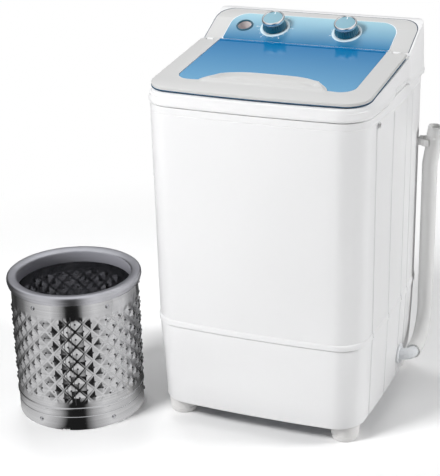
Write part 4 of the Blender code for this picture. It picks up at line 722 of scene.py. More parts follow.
def square_plan(half, radius, side):
    """The right half of a rounded square, from the front's middle past a side's own points."""
    face = [((half - radius) * s, -half) for s in shares(FACE_STEPS)]
    return (face + bend(half - radius, radius - half, radius, True) + side
            + bend(half - radius, half - radius, radius) + [(x, half) for x, _ in reversed(face)])


def arch(y, top):
    """The rise over the tub's swelling in each side wall."""
    return top * smooth(ARCH_SHARP * (1 - abs(y - ARCH_MID_Y) / ARCH_HALF))


def lean(z):
    """How far the walls lean in at a height."""
    if z >= BELT_Z:
        return BELT_IN * (SEAM_Z - z) / (SEAM_Z - BELT_Z)
    return BELT_IN + (BOTTOM_IN - BELT_IN) * (BELT_Z - z) / (BELT_Z - BOTTOM_Z)


def body_ring(z, inset=0, press=GROOVE_DEPTH):
    """A level ring of the cabinet or base: a bowed, rounded square with its ribs and swelling."""
    half = HALF - lean(z) - inset
    radius = CORNER_R - inset
    swell = ARCH_OUT * smooth((z - ARCH_FADE_Z) / (SEAM_Z - ARCH_FADE_Z))
    scale = (half - radius) / (HALF - CORNER_R)
    side = [(half - groove_press(y, press) + arch(y, swell), y * scale) for y in side_ys()[1:-1]]
    bowed = [(x - BOW * x / half * (y / half) ** 2, y - BOW * y / half * (x / half) ** 2)
             for x, y in square_plan(half, radius, side)]
    return lifted(mirrored(bowed), z)


def seam_z(x, y):
    """The joint between cabinet and top frame, which rises over the tub's swelling at both sides."""
    return SEAM_Z + (arch(y, ARCH_RISE) if abs(x) > HALF - CORNER_R else 0)


def rim_ring(drop, inset):
    """A ring near the cabinet's upper edge, which rises with the joint over the swelling."""
    return [(x, y, z + seam_z(x, y) - SEAM_Z) for x, y, z in body_ring(SEAM_Z - drop, inset, 0)]


def make_cabinet():
    low = BELT_Z + HEM_GAP
    hem = BELT_Z + BELT_H
    foot = hem + BELT_OUT
    rings = [body_ring(low, WALL), body_ring(low, -BELT_OUT), body_ring(hem - BELT_OUT, -BELT_OUT),
             body_ring(hem, -BELT_OUT / 2), body_ring(hem + BELT_OUT / 2)]
    rings += [body_ring(foot + (GROOVE_TOP_Z - foot) * i / BODY_ROWS) for i in range(BODY_ROWS + 1)]
    for i in range(1, FADE_ROWS + 1):
        share = i / FADE_ROWS
        rings.append(body_ring(GROOVE_TOP_Z + GROOVE_FADE * share,
                               press=GROOVE_DEPTH * math.sqrt(max(1 - share ** 2, 0))))
    rings += [body_ring(CREASE_Z, press=0), body_ring(CREASE_Z + CREASE_OUT, CREASE_OUT, 0),
              body_ring(CREASE_Z + 2 * CREASE_OUT, press=0), rim_ring(CREASE_OUT, 0)]
    rings += [rim_ring(0, WALL), rim_ring(0, 2 * WALL),
              body_ring(GROOVE_TOP_Z + GROOVE_FADE, 2 * WALL, 0), body_ring(GROOVE_TOP_Z, WALL)]
    piece("cabinet_skin", loft(rings, closed=True), WHITE, replaces=("cabinet",))


def make_base():
    low = BOTTOM_Z + BASE_EDGE
    high = BELT_Z - BASE_EDGE
    rings = [body_ring(BOTTOM_Z, WALL), body_ring(BOTTOM_Z, BASE_EDGE),
             body_ring(BOTTOM_Z + 0.3 * BASE_EDGE, 0.3 * BASE_EDGE), body_ring(low)]
    rings += [body_ring(low + (high - low) * i / BASE_ROWS) for i in range(1, BASE_ROWS + 1)]
    rings += [body_ring(BELT_Z - 2 * BASE_JOINT, BASE_JOINT)]
    rings += [body_ring(BELT_Z - BASE_JOINT, inset) for inset in (5 * BASE_JOINT, WALL)]
    piece("base_skin", loft(rings, closed=True), WHITE, replaces=("base_housing",))


def on_deck(y):
    return y < CONSOLE_Y - CONSOLE_STEP / 2


def top_z(y):
    """Height of the top frame along its depth: deck, console slope, then crown and rear."""
    if on_deck(y):
        return DECK_Z + DECK_SLOPE * (y - DECK_Y)
    line = ((CONSOLE_Y, CONSOLE_Z), (CONSOLE_TOP_Y, CONSOLE_TOP_Z)) + CROWN
    for (y0, z0), (y1, z1) in zip(line, line[1:]):
        if y <= y1:
            return z0 + (z1 - z0) * (y - y0) / (y1 - y0)
    return line[-1][1]


def top_less(drop):
    return lambda x, y: top_z(y) - drop


def frame_ys():
    """Points along the frame's sides, with each break of its upper surface among them."""
    end = HALF - CORNER_R
    ys = [-end + 2 * end * s for s in shares(FRAME_STEPS)] + [end]
    return sorted(ys + [CONSOLE_Y - CONSOLE_STEP, CONSOLE_Y, CONSOLE_TOP_Y])


def frame_ring(inset, height):
    half = HALF - inset
    straighten = 1 / (1 - BOW / HALF * (half / HALF) ** 2)
    side = [(half, y * straighten) for y in frame_ys()[1:-1]]
    bowed = [(x - BOW * (x / HALF) * (y / HALF) ** 2 * (y < 0), y - BOW * (y / HALF) * (x / HALF) ** 2)
             for x, y in square_plan(half, CORNER_R - inset, side)]
    return lifted(mirrored(bowed), height)


def round_guide(name, radius, low, high, place):
    return guide(name, turned([(0, low), (radius, low), (radius, high), (0, high)]), place)


def console_guides():
    """The holes for both shafts and the water inlet."""
    return [round_guide("console_hole", radius, -HALF / 4, HALF / 4, CONSOLE @ at(x, KNOB_V))
            for x, radius in HOLE_RADII]


def make_top_frame():
    def lip(rise):
        return lambda x, y: seam_z(x, y) + rise

    def shoulder(x, y):
        return SEAM_Z + SHOULDER_H + 0.3 * (seam_z(x, y) - SEAM_Z)

    def ceiling(x, y):
        return top_z(y) - (WALL if on_deck(y) else BEZEL_T + WALL)

    out = -LIP_OUT
    edge = FRAME_EDGE
    levels = ((WALL, lip(SEAM_GAP)), (0.2 * out, lip(SEAM_GAP)), (0.6 * out, lip(SEAM_GAP + 0.5 * MM)),
              (out, lip(LIP_H * 0.75)), (0.9 * out, lip(LIP_H)), (0.35 * out, lip(LIP_H * 1.25)),
              (0, shoulder), (FRAME_IN * 0.75, top_less(3 * edge)), (FRAME_IN, top_less(edge)),
              (FRAME_IN + 0.3 * edge, top_less(0.3 * edge)), (FRAME_IN + edge, top_less(0)))
    inside = 2 * FRAME_IN + WALL
    hollow = guide("frame_hollow", skin([frame_ring(WALL, SEAM_Z - HALF), frame_ring(WALL, SEAT_Z),
                                         frame_ring(inside, SEAT_Z), frame_ring(inside, ceiling)]))
    place = MACHINE @ at(0, MOUTH_Y)
    cutters = [hollow, round_guide("mouth_hole", MOUTH_R, SEAM_Z, SEAM_Z + HALF, place)] + console_guides()
    carved("top_frame_skin", skin([frame_ring(*level) for level in levels]), cutters, WHITE,
           replaces=("top_frame",), sharp=32)
    outer = MOUTH_R + WALL
    skirt = [(outer, SEAT_Z), (outer, SKIRT_TOP_Z), (MOUTH_R, SKIRT_TOP_Z), (MOUTH_R - 0.5 * MM, DECK_Z),
             (MOUTH_R, SEAT_Z)]
    piece("mouth_skirt", turned(skirt), WHITE, place=place)


def bezel_plan(grow=0):
    """Plan of the console cover: square at its front, round at its rear corners."""
    half = BEZEL_HALF + grow
    rear = BEZEL_REAR_Y + grow
    rows = [(half, CONSOLE_Y + (rear - BEZEL_R - CONSOLE_Y) * s) for s in shares(4)[1:]]
    return mirrored([(0, CONSOLE_Y - grow), (half, CONSOLE_Y - grow)] + rows
                    + bend(half - BEZEL_R, rear - BEZEL_R, BEZEL_R) + [(0, rear)])


def overlay_plan(grow=0):
    half = OVERLAY_HALF + grow
    front = MM - grow
    rear = OVERLAY_L + grow
    foot = OVERLAY_FOOT_R
    return mirrored([(0, front)] + bend(half - foot, front + foot, foot, True)
                    + bend(half - OVERLAY_R, rear - OVERLAY_R, OVERLAY_R) + [(0, rear)])


def make_console():
    outline = [(x, max(y, CONSOLE_Y + 0.4 * MM)) for x, y in bezel_plan(BEZEL_SOFT)]
    carved("bezel_joint", skin([lifted(outline, top_less(MM)), lifted(outline, top_less(-0.15 * MM))]),
           console_guides(), JOINT_AND_GAP_SHADE, replaces=("console_bezel",))

    def level(rise):
        return lambda x, y: top_z(max(y, CONSOLE_Y)) + rise

    rings = [lifted(bezel_plan(grow), level(rise)) for grow, rise in (
        (0, -BEZEL_T), (0, -BEZEL_SOFT / 2), (-0.3 * BEZEL_SOFT, 0), (-BEZEL_SOFT, BEZEL_SOFT / 2))]
    carved("bezel_skin", skin(rings), console_guides(), SHADED_WHITE, sharp=30, replaces=("console_bezel",))
    # The white rim round the overlay is a painted highlight along its edge.
    for name, grow, high, mat, bevel in (("overlay_rim", 1.1 * MM, MM, PRINT_AND_HIGHLIGHT_WHITE, 0.25 * MM),
                                         ("overlay_skin", 0, 1.5 * MM, OVERLAY, 0.4 * MM)):
        carved(name, prism(overlay_plan(grow), 0.2 * MM, high), console_guides(), mat, place=CONSOLE,
               replaces=("console_overlay",), slot="blue_panel", bevel=bevel)
    make_dial_marks()


def flat_text(name, words, place):
    """Small raised print lying on the console."""
    data = bpy.data.curves.new(name, "FONT")
    data.body = words
    data.size = NUMBER_SIZE
    data.extrude = NUMBER_T
    data.align_x = "CENTER"
    data.align_y = "CENTER"
    obj = add_object(name, data, place)
    mesh = baked(obj)
    bpy.data.objects.remove(obj)
    mesh.materials.clear()
    mesh.materials.append(PRINT_AND_HIGHLIGHT_WHITE)
    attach(add_object(name, mesh, place), "root")


def make_dial_marks():
    """Plain ticks and minute numbers round the timer, and ticks round the drain selector."""
    ticks = []
    for x, first, sweep, count in DIALS:
        for i in range(count):
            a = radians(first + sweep * i / (count - 1))
            out = Vector((cos(a), sin(a)))
            side = out.orthogonal() * TICK_HALF
            near = Vector((x, KNOB_V)) + out * TICK_R
            far = near + out * (TICK_SHORT if i % 3 else TICK_LONG)
            plan = (near - side, far - side, far + side, near + side)
            ticks.append(prism(plan, PRINT_Z - PRINT_T, PRINT_Z))
    piece("dial_ticks", joined(ticks), PRINT_AND_HIGHLIGHT_WHITE, place=CONSOLE, sharp=20, slot="blue_panel")
    for i in range(6):
        x, y, z = polar(NUMBER_R, radians(120 + 60 * i), PRINT_Z - 0.05 * MM)
        flat_text("timer_number_%d" % i, str(15 - 3 * i), CONSOLE @ at(x - KNOB_X, y + KNOB_V, z))


def lid_plan(grow=0, short=0):
    """Plan of the lid on the deck's slope, with its front edge bowed."""
    half = LID_HALF + grow
    length = LID_L + grow - short
    radius = LID_R + grow
    rear = LID_REAR_R
    right = [((half - radius) * s, -grow) for s in shares(FACE_STEPS)]
    right += bend(half - radius, radius - grow, radius, True) + bend(half - rear, length - rear, rear)[::2]
    right += [(0, length)]
    return mirrored([(x, v + BOW * (x / half) ** 2 * (1 - v / length)) for x, v in right])


def grip_half(v):
    """Half width of the finger grip's arch at a distance along the lid."""
    share = (v - WINDOW_FRONT) / GRIP_L
    return GRIP_TOP_HALF + (GRIP_HALF - GRIP_TOP_HALF) * (1 - smooth(share))


def window_plan(grow=0):
    """Opening for the window, whose front edge runs round the grip's arch in two soft bends."""
    top = WINDOW_FRONT + GRIP_L
    fall = GRIP_L - GRIP_RISE
    line = [(GRIP_TOP_HALF * s, top + grow - GRIP_RISE * s ** 4) for s in shares(ARC)]
    for s in shares(2 * ARC):
        v = top - GRIP_RISE - fall * s
        line.append((grip_half(v) + grow * sin(pi * s), v + grow))
    half = WINDOW_HALF - grow
    radius = WINDOW_R - grow
    rear = WINDOW_REAR - grow
    back = WINDOW_BACK_R
    line += bend(half - radius, WINDOW_FRONT + grow + radius, radius, True)
    return mirrored(line + bend(half - back, rear - back, back)[::3] + [(0, rear)])


def make_lid():
    rings = [lifted(lid_plan(PANEL_OUT - inset, PANEL_SHORT), z) for inset, z in (
        (PANEL_EDGE, PANEL_LOW), (0, PANEL_LOW + PANEL_EDGE), (0, PANEL_HIGH - PANEL_EDGE),
        (PANEL_EDGE, PANEL_HIGH))]
    panel = piece("lid_panel", skin(rings), WINDOW, "lid", LID, replaces=("lid_window",), slot="blue_panel")
    # The panel's front and side edges take the dark navy: painted shade of the gap between lid and frame.
    second_material(panel, JOINT_AND_GAP_SHADE, lambda face: abs(face.normal.z) < 0.8 and face.normal.y < 0.5)
    soft = LID_SOFT
    outer = [lifted(lid_plan(grow), z) for grow, z in (
        (-PANEL_EDGE, LID_LOW), (0, LID_LOW + PANEL_EDGE), (0, LID_HIGH - soft),
        (-0.25 * soft, LID_HIGH - 0.42 * soft), (-0.6 * soft, LID_HIGH - 0.12 * soft), (-soft, LID_HIGH))]
    above = 2 * LID_HIGH
    cutters = [guide("window_hole", prism(window_plan(), 0, above), LID),
               guide("grip_pocket", prism(grip_plan(), GRIP_POCKET_Z, above), LID)]
    for x in (-HINGE_X, HINGE_X):
        notch = box(x - 7 * MM, x + 7 * MM, HINGE_V - 4.5 * MM, HINGE_V + 20 * MM)
        cutters.append(guide("lug_notch", prism(notch, -LID_HIGH, above), LID))
    carved("lid_frame_skin", skin(outer), cutters, SHADED_WHITE, "lid", LID, sharp=30, replaces=("lid_frame",),
           bevel=0.9 * MM)
    make_grip()
    make_window_highlight()
    side = [(-3.5, 0), (3.5, 0)]
    for i in range(13):
        y, z, _ = polar(3.5, radians(15 * i))
        side.append((y, z + 6))
    verts, faces = prism(in_mm(side), -6 * MM, 6 * MM)
    lug = [(x, y, z) for y, z, x in verts], faces
    for x in (-HINGE_X, HINGE_X):
        piece("hinge_lug", lug, WHITE, place=LID @ at(x, HINGE_V), bevel=0.5 * MM)


def grip_point(u, t):
    """A point of the finger grip from its middle line to its side, and from its front to its arch."""
    low = GRIP_DISH_FRONT
    v = low + (WINDOW_FRONT + GRIP_L - GRIP_RIM - GRIP_RISE - low) * t
    half = grip_half(max(v, WINDOW_FRONT)) - GRIP_RIM
    return half * u, v + GRIP_RISE * (1 - u ** 4) * t ** 2, half


def grip_plan():
    """Plan of the recess that the finger grip's dished panel fills."""
    across = shares(2 * ARC) + [1]
    right = [grip_point(u, 0) for u in across] + [grip_point(1, t) for t in across[1:]]
    right += [grip_point(u, 1) for u in across[-2::-1]]
    return mirrored([(x, v) for x, v, _ in right])


def grip_relief(u, t):
    """Height of the grip: a low rim round the arch, a wide scoop, and a rounded ridge ahead of it."""
    _, v, half = grip_point(u, t)
    side = half * (1 - abs(u))
    back = grip_point(u, 1)[1] - v
    ahead = v - GRIP_DISH_FRONT
    edge = min(side * GRIP_SIDE_SHARE, back)
    rim = GRIP_RIM_H * math.exp(-((edge - GRIP_RIM_W) / GRIP_RIM_W) ** 2) * smooth(ahead / GRIP_BACKSET)
    bowl = -GRIP_DISH * smooth((edge - GRIP_RIM_W) / GRIP_SOFT) * smooth((ahead - GRIP_BACKSET) / GRIP_FALL)
    ridge = GRIP_RIDGE * math.exp(-((ahead - GRIP_BACKSET) / GRIP_RIDGE_W) ** 2) * smooth(side / GRIP_SOFT)
    return rim + bowl + ridge


def make_grip():
    """The dished finger grip: a fine grid that falls away behind a raised ridge."""
    rows = 4 * ARC
    columns = 8 * ARC

    def upper(i, j):
        u, t = 2 * j / columns - 1, i / rows
        x, v, _ = grip_point(u, t)
        return x, v, LID_HIGH - 0.25 * MM + grip_relief(u, t)

    def lower(i, j):
        x, v, _ = grip_point(2 * j / columns - 1, i / rows)
        return x, v, LID_LOW + 0.1 * MM

    piece("finger_grip", slab(rows, columns, upper, lower), SHADED_WHITE, "lid", LID, sharp=60)


def make_window_highlight():
    """The white step round the window, a hair above the panel: a painted highlight along the window's edge.
    """
    plan = window_plan()
    inner = window_plan(0.9 * MM)
    low = LID_LOW - 0.25 * MM
    rings = [lifted(plan, low), lifted(plan, low + 0.9 * MM)]
    rings += [lifted(inner, low + 0.5 * MM), lifted(inner, low)]
    piece("window_edge", loft(rings, closed=True), PRINT_AND_HIGHLIGHT_WHITE, "lid", LID)


def make_window_glass():
    """The blue window, nearly level with the lid frame, and the strip at its hinge end."""
    glass = prism(window_plan(0.45 * MM), LID_LOW - 0.2 * MM, LID_HIGH - 0.9 * MM)
    piece("window_glass", glass, WINDOW, "lid", LID, replaces=("lid_window",), slot="blue_panel",
          bevel=0.5 * MM)
    plan = box(-STRIP_HALF, STRIP_HALF, WINDOW_REAR - 0.4 * MM, LID_L + 1.5 * MM)
    strip = prism(plan, LID_LOW + MM, LID_HIGH + 0.15 * MM)
    piece("window_rear_strip", strip, WINDOW, "lid", LID, slot="blue_panel", bevel=0.4 * MM)


def make_knob(name, x, body):
    spot = {"body": body, "place": CONSOLE @ at(x, KNOB_V)}
    outline = in_mm(((0, 3.2), (20.2, 3.2), (21.2, 4), (20.2, 8.7), (18.7, 14.2), (18.8, 19.7), (19.3, 20.6),
                     (19.3, 21.4), (17.6, 21.4), (17.2, 20.8), (0, 20.8)))

    def flute(row, angle):
        return -FLUTE_DEPTH * FLUTE_SHARES[row] * (1 - cos(FLUTES * angle)) / 2

    grip = turned(outline, 240, flute)
    piece(name + "_skin", grip, TEAL, replaces=(name,), slot="teal_plastic", sharp=50, **spot)
    lathe(name + "_chrome", ((19, 16.8), (19.7, 17.2), (20.1, 18), (20, 20.6), (19.5, 22.4), (18.6, 23.5),
                             (17.6, 23.8), (16.9, 23.4), (16.4, 22.4), (17.4, 21)), CHROME, 144,
          replaces=(name + "_trim",), slot="chrome", **spot)
    lathe(name + "_disc", ((0, 22.9), (6, 22.85), (13, 22.65), (17.1, 22.3), (17.1, 21.2), (0, 21.2)), DISC,
          slot="chrome", **spot)
    mark = prism(in_mm(box(-0.6, 0.6, 9.5, 15)), 22.6 * MM, 22.95 * MM)
    piece(name + "_mark", mark, PRINT_AND_HIGHLIGHT_WHITE, slot="chrome", bevel=0.1 * MM, **spot)


def make_controls():
    make_knob("wash_knob", -KNOB_X, "wash_control")
    make_knob("drain_knob", KNOB_X, "drain_control")
    ring = (7, 1.3), (26, 1.3), (26, 2), (25.2, 2.7), (23.8, 3), (22.6, 2.4), (7, 2.3)
    for name, x in (("wash_knob_ring", -KNOB_X), ("drain_knob_ring", KNOB_X)):
        lathe(name + "_skin", ring, PALE, place=CONSOLE @ at(x, KNOB_V), replaces=(name,), slot="pale_ring")
    spot = {"place": CONSOLE @ at(INLET_X, KNOB_V), "slot": "pale_ring"}
    port = (12, 3), (12.6, 3.6), (13.8, 3.7), (15, 2.6), (15, 1.4), (14, 1.3), (14, -28), (12, -28)
    lathe("inlet_port", port, TEAL, replaces=("inlet_spigot",), **spot)
    lathe("inlet_funnel", ((11.8, 1), (10.4, -6), (10.2, -26), (11.8, -26)), PORT, **spot)


def make_feet():
    top = BOTTOM_Z / MM - 0.3
    outline = ((0, 0.3), (14, 0.3), (16, 0), (20, 0), (21.6, 1), (22.5, 3.5), (24.6, 20), (25, 25),
               (24.2, 28), (22.5, top), (0, top))
    for i in range(4):
        name = "foot_%d" % (i + 1)
        spot = {"place": at(*middle(name)), "slot": "foot_plastic"}
        lathe(name + "_skin", outline, FOOT, 72, replaces=(name,), **spot)
        for z in (9 * MM, 14 * MM):
            lathe(name + "_rib", ((23.2, -1), (23.9, 0), (23.2, 1), (22, 0)), FOOT, 72, z, **spot)


def make_hose():
    """The drain hose up the side: a smooth wall with faint rings, a cuff at its open top."""
    bend_y = HOSE_Y - HOSE_BEND
    level = [(HOSE_END_Y + i * HOSE_STEP, HOSE_Z) for i in range(int((bend_y - HOSE_END_Y) / HOSE_STEP))]
    rise = bend(bend_y, HOSE_Z + HOSE_BEND, HOSE_BEND, True)
    line = [Vector((HOSE_X, y, z)) for y, z in level + rise]
    z = line[-1].z
    while z < HOSE_TOP_Z - HOSE_CUFF:
        z += HOSE_STEP
        share = max(z - HOSE_LEAN_Z, 0) / (HOSE_TOP_Z - HOSE_LEAN_Z)
        line.append(Vector((HOSE_X + HOSE_LEAN * share, HOSE_Y, z)))
    radii = [HOSE_R - HOSE_RING_IN * (i % 4 == 0) for i in range(len(line))]
    radii += [HOSE_R, CUFF_R - 0.5 * MM] + [CUFF_R] * CUFF_STEPS + [CUFF_R - 0.3 * MM, CUFF_R - 1 * MM]
    step = Vector((HOSE_LEAN * HOSE_STEP / (HOSE_TOP_Z - HOSE_LEAN_Z), 0, HOSE_STEP))
    while len(line) < len(radii):
        line.append(line[-1] + step)
    tube = swept(line, radii, 40, HOSE_BORE)
    piece("drain_hose_skin", tube, HOSE, "hose", sharp=45, replaces=("drain_hose",), slot="hose_white")


def make_rear():
    """The rear cover as a shallow pan with louvres."""
    low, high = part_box("rear_cover")
    width = high.x - low.x
    height = high.z - low.z
    wall = HALF - lean((low.z + high.z) / 2)

    def spot(i, j, out):
        z = low.z + height * i / COVER_ROWS
        x = -width / 2 + width * j / COVER_COLUMNS
        near = lean(z) - lean((low.z + high.z) / 2)
        return x + MACHINE_X, wall - BOW * (x / HALF) ** 2 + MACHINE_Y - near + out, z

    def inner(i, j):
        return spot(i, j, COVER_IN)

    def outer(i, j):
        share = (i / COVER_ROWS - LOUVRE_START_SHARE) / LOUVRE_SPAN_SHARE
        off = abs(width * j / COVER_COLUMNS - width / 2)
        if 0 < share < 1 and off < width * LOUVRE_HALF_SHARE:
            return spot(i, j, COVER_OUT + LOUVRE_OUT * abs(sin(pi * LOUVRES * share)) ** 0.5)
        return spot(i, j, COVER_OUT)

    piece("rear_cover_skin", slab(COVER_ROWS, COVER_COLUMNS, inner, outer), SHADED_WHITE, place=Matrix.Identity(4),
          replaces=("rear_cover",), slot="rear_plastic", bevel=0.5 * MM)


def make_side_screw():
    """The small sunk screw high on the right side, ahead of the ribs."""
    place = along(MACHINE @ Vector((HALF - SIDE_SCREW_IN, SIDE_SCREW_Y, SIDE_SCREW_Z)), (1, 0, 0))
    lathe("side_screw", ((0, 0.2), (2.6, 0.2), (3.2, -0.3), (0, -0.3)), STEEL_IN, 32, place=place)
    lathe("side_screw_well", ((3.4, 0), (4.6, 0.9), (5, 0.3), (4.6, 0)), SHADED_WHITE, 48, place=place)


def emboss(a, z):
    """Height of the basket's wall: four-sided points in a slanted lattice, fading at both ends."""
    u = a * COLUMNS / pi
    v = (z - DIAMOND_Z0) / DIAMOND_SPAN * 2 * ROWS
    if not 0 < v < 2 * ROWS:
        return 0
    p = (u + v) / 2
    q = (u - v) / 2
    edge = 2 * max(abs(p - round(p)), abs(q - round(q)))
    fade = min(1, v, 2 * ROWS - v)
    tall = DIAMOND_OUT + DIAMOND_IN
    if edge > CREASE_SHARE:
        height = -DIAMOND_IN + tall * CREASE_RISE_SHARE * (edge - CREASE_SHARE) / (1 - CREASE_SHARE)
    else:
        height = DIAMOND_OUT - tall * edge / CREASE_SHARE
    return height * fade


ON_BASKET = {"body": "basket", "place": BASKET, "slot": "stainless"}


def make_basket_shell():
    angles = full_turn(2 * COLUMNS * DIAMOND_STEPS)
    count = 2 * ROWS * DIAMOND_STEPS
    heights = [z * MM for z in RIDGE_ZS]
    heights += [DIAMOND_Z0 + DIAMOND_SPAN * i / count for i in range(count + 1)] + [WALL_TOP_Z]
    outer = []
    inner = []
    for z in heights:
        ridge = RIDGE_OUT * max(0, 1 - ((z - RIDGE_Z) / RIDGE_HALF) ** 2)
        radii = [BASKET_R + ridge + emboss(a, z) for a in angles]
        outer.append([polar(r, a, z) for r, a in zip(radii, angles)])
        inner.append([polar(r - SHEET, a, z) for r, a in zip(radii, angles)])
    shell = piece("basket_wall", loft(outer + inner[::-1], closed=True), STEEL, sharp=14,
                  replaces=("basket_shell",), **ON_BASKET)
    second_material(shell, STEEL_IN, lambda face: face.normal.xy.dot(face.center.xy) < 0)


def hole(a, z):
    """A short dark plug through the wall, seen from both sides: painted shade standing in for the hole."""
    out = Vector(polar(1, a))
    side = Vector((-out.y, out.x, 0))
    reach = BASKET_R + emboss(a, z)
    rings = []
    for depth in (HOLE_PROUD, -SHEET - HOLE_PROUD):
        spot = out * (reach + depth) + Vector((0, 0, z))
        rings.append([spot + side * HOLE_R * cos(t) + Vector((0, 0, HOLE_R * sin(t)))
                      for t in full_turn(HOLE_SIDES)])
    return loft(rings)


def make_basket_holes():
    """Drain holes, one through the point of each diamond, each drawn as a dark plug of painted shade."""
    holes = []
    for j in range(1, 2 * ROWS):
        z = DIAMOND_Z0 + DIAMOND_SPAN * j / (2 * ROWS) + HOLE_LIFT
        holes += [hole(pi * i / COLUMNS, z) for i in range(j % 2, 2 * COLUMNS, 2)]
    piece("basket_holes", joined(holes), HOLE_SHADE, sharp=20, **ON_BASKET)


def make_basket_weld():
    """The wall's upright weld: two fine lines over the diamonds at the front."""
    steps = 24 * ROWS
    for a in map(radians, WELD_ANGLES):
        heights = [DIAMOND_Z0 + DIAMOND_SPAN * i / steps for i in range(steps + 1)]
        line = [Vector(polar(BASKET_R + emboss(a, z) + WELD_OUT, a, z)) for z in heights]
        piece("basket_weld", swept(line, [WELD_R] * len(line), 8), DARK, **ON_BASKET)


def make_basket():
    make_basket_shell()
    make_basket_holes()
    make_basket_weld()
    rim = ((109.3, -16), (112, -16), (113.2, -14.5), (113.4, -10.5), (114.6, -9.6), (115, -8), (115, -4.5),
           (114.2, -1.8), (112.6, -0.4), (110.5, 0), (106, -0.3), (101, -1.2), (98.4, -2.2), (97, -3.8),
           (96.5, -6), (96.5, -22.5), (97.3, -24), (106, -24), (106.2, -6), (109.3, -6))
    ring = lathe("basket_rim", rim, RIM_BAND, ROUND_FINE, BASKET_H, body="basket", place=BASKET,
                 replaces=("basket_balance_ring",), slot="rim_grey")
    second_material(ring, RIM, lambda face: face.center.xy.length < RIM_INSIDE_R)
    base = in_mm((
        (9, 6), (101, 6), (102, 0.5), (103, 0), (108, 0), (108.9, 0.9), (109, 2), (109, 24.5), (108.4, 25.4),
        (106.8, 25.7), (106, 36), (104, 36), (104, 12), (100, 10), (60, 10), (57, 12), (54, 10), (22, 10),
        (20, 22), (9, 22)))
    turn = Matrix.Rotation(radians(NOTCH_ANGLE), 4, "Z")
    notch = guide("notch", prism(in_mm(box(95, 119, -8, 8)), -5 * MM, 5 * MM), BASKET @ turn)
    carved("basket_bottom", turned(base, ROUND_FINE), [notch], STEEL, replaces=("basket_base",), sharp=30,
           **ON_BASKET)
    head = (0, 2.6), (1.6, 2.4), (2.9, 1.6), (3.5, 0.4), (4, 0.1), (4, -0.5), (0, -0.5)
    for a in map(radians, RIVET_ANGLES):
        for z in RIVET_ZS:
            place = along(BASKET @ Vector(polar(BASKET_R, a, z)), polar(1, a))
            lathe("basket_rivet", head, STEEL_IN, 32, body="basket", place=place, slot="stainless")


def dress_nodes():
    """Materials and soft edges for the CAD pieces that stay as they are."""
    looks = (
        (INSIDE, "wash_tub drain_valve_body drain_outlet"), (DISC, "pulsator"), (HOSE, "hose_clip"),
        (DARK, "wash_timer drain_selector motor_capacitor mains_lead_gland"),
        (RUBBER, "shaft_seal drive_belt drain_pipe outlet_pipe"),
        (CAST, "base_plate drain_crank driven_pulley bearing_housing motor_stator motor_pulley motor_bracket "
               "drain_valve_rod"),
        (CHROME, "lid_hinge_pin_left lid_hinge_pin_right wash_knob_shaft drain_knob_shaft pulsator_screw "
                 "drive_shaft pulley_nut lower_bearing upper_bearing motor_rotor drain_valve_spring "
                 "rear_cover_screw_1 rear_cover_screw_2 rear_cover_screw_3 rear_cover_screw_4"))
    soft = {"wash_tub": 1.0, "hose_clip": 0.6, "drain_outlet": 0.4, "pulsator": 0.6, "mains_lead_gland": 0.3,
            "wash_timer": 1.5, "drain_selector": 1.5}
    for mat, names in looks:
        for name in names.split():
            obj = bpy.data.objects[name]
            obj.data.materials.clear()
            obj.data.materials.append(mat)
            shade(obj, 35)
            if name in soft:
                add_bevel(obj, soft[name] * MM)


def direction_share(tree, source):
    """Directions as their angle from the camera's side, from 0 towards it to 1 behind, and their height."""
    turn = add_node(tree, "VectorRotate", rotation_type="Z_AXIS", Vector=source,
                    Angle=radians(CAMERA_SIDE))
    split = add_node(tree, "SeparateXYZ", turn.outputs["Vector"]).outputs
    angle = sums(tree, "ARCTAN2", split["Y"], split["X"])
    return sums(tree, "DIVIDE", sums(tree, "ABSOLUTE", angle), pi), split["Z"]


def studio_band(tree, share):
    """Greys of the studio round the object, by angle from the camera's side."""
    node = add_node(tree, "ValToRGB", Fac=share)
    node.color_ramp.elements[0].color = STUDIO_FRONT
    node.color_ramp.elements[1].color = STUDIO_BACK
    for position, grey in STUDIO_STOPS:
        node.color_ramp.elements.new(position).color = (grey, grey, grey, 1)
    return node.outputs["Color"]


def set_world():
    """A studio: bright flanks, a dark slot towards the camera, dark behind, light above."""
    world = bpy.data.worlds.new("studio")
    bpy.context.scene.world = world
    world.use_nodes = True
    tree = world.node_tree
    share, up = direction_share(tree, coordinates(tree, "Generated"))
    above = ranged(tree, up, From_Min=OVERHEAD_LOW, From_Max=OVERHEAD_HIGH)
    room = blend_colours(tree, above, studio_band(tree, share), OVERHEAD)
    path = add_node(tree, "LightPath").outputs
    direct = sums(tree, "MAXIMUM", path["Is Camera Ray"], path["Is Glossy Ray"])
    level = ranged(tree, direct, To_Min=AMBIENT_SHARE, To_Max=1)
    shader = tree.nodes["Background"]
    tree.links.new(blend_colours(tree, path["Is Camera Ray"], room, PAPER_WHITE), shader.inputs["Color"])
    tree.links.new(level, shader.inputs["Strength"])


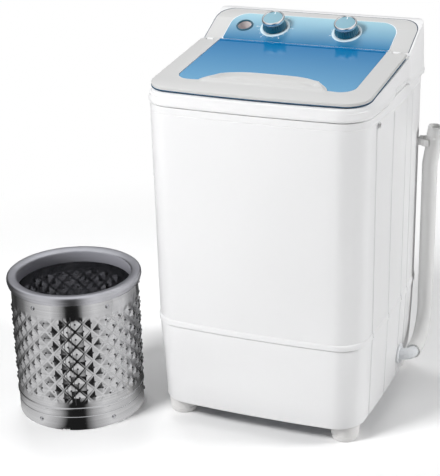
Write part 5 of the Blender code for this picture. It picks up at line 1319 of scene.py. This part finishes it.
def floor_material():
    """Pale paper that fades to white far off, and shows the studio to mirrors."""
    mat = bpy.data.materials.new("floor_pale")
    mat.use_nodes = True
    tree = mat.node_tree
    tree.nodes.remove(tree.nodes["Principled BSDF"])
    place = coordinates(tree)
    path = add_node(tree, "LightPath").outputs
    reach = add_node(tree, "VectorMath", place, operation="LENGTH").outputs["Value"]
    far = ranged(tree, reach, interpolation_type="SMOOTHSTEP", From_Min=FLOOR_NEAR, From_Max=FLOOR_FAR)
    direct = sums(tree, "MAXIMUM", path["Is Camera Ray"], path["Is Transmission Ray"])
    seen = sums(tree, "MULTIPLY", far, direct)
    paper = add_node(tree, "BsdfDiffuse",
                     Color=blend_colours(tree, path["Is Camera Ray"], FLOOR_WHITE, PAPER_WHITE))
    glow = add_node(tree, "Emission")
    mixed = add_node(tree, "MixShader", seen, paper.outputs["BSDF"], glow.outputs["Emission"])
    centred = add_node(tree, "VectorMath", place, (BASKET_X, BASKET_Y, 0), operation="SUBTRACT")
    share, _ = direction_share(tree, centred.outputs["Vector"])
    cards = add_node(tree, "Emission", Color=studio_band(tree, share))
    mirror = add_node(tree, "MixShader", path["Is Glossy Ray"], mixed.outputs["Shader"],
                      cards.outputs["Emission"])
    tree.links.new(mirror.outputs["Shader"], tree.nodes["Material Output"].inputs["Surface"])
    return mat


def area_light(name, place, size, power):
    data = bpy.data.lights.new(name, "AREA")
    data.shape = "RECTANGLE"
    data.size, data.size_y = size
    data.energy = power
    turn = (Vector(LAMP_AIM) - Vector(place)).to_track_quat("-Z", "Y").to_matrix().to_4x4()
    light = add_object(name, data, at(*place) @ turn)
    light.visible_glossy = False
    return light


def set_stage():
    plan = box(-FLOOR_SIZE, FLOOR_SIZE, -FLOOR_SIZE, FLOOR_SIZE)
    mesh = bpy.data.meshes.new("floor")
    mesh.from_pydata(lifted(plan, 0), [], [(0, 1, 2, 3)])
    mesh.materials.append(floor_material())
    floor = add_object("floor", mesh, at(0, 0, -FLOOR_DROP))
    lights = [area_light(*lamp) for lamp in LAMPS]


set_camera()
set_world()
set_stage()
make_cabinet()
make_base()
make_top_frame()
make_console()
make_controls()
make_lid()
make_window_glass()
make_feet()
make_hose()
make_rear()
make_side_screw()
make_basket()
dress_nodes()
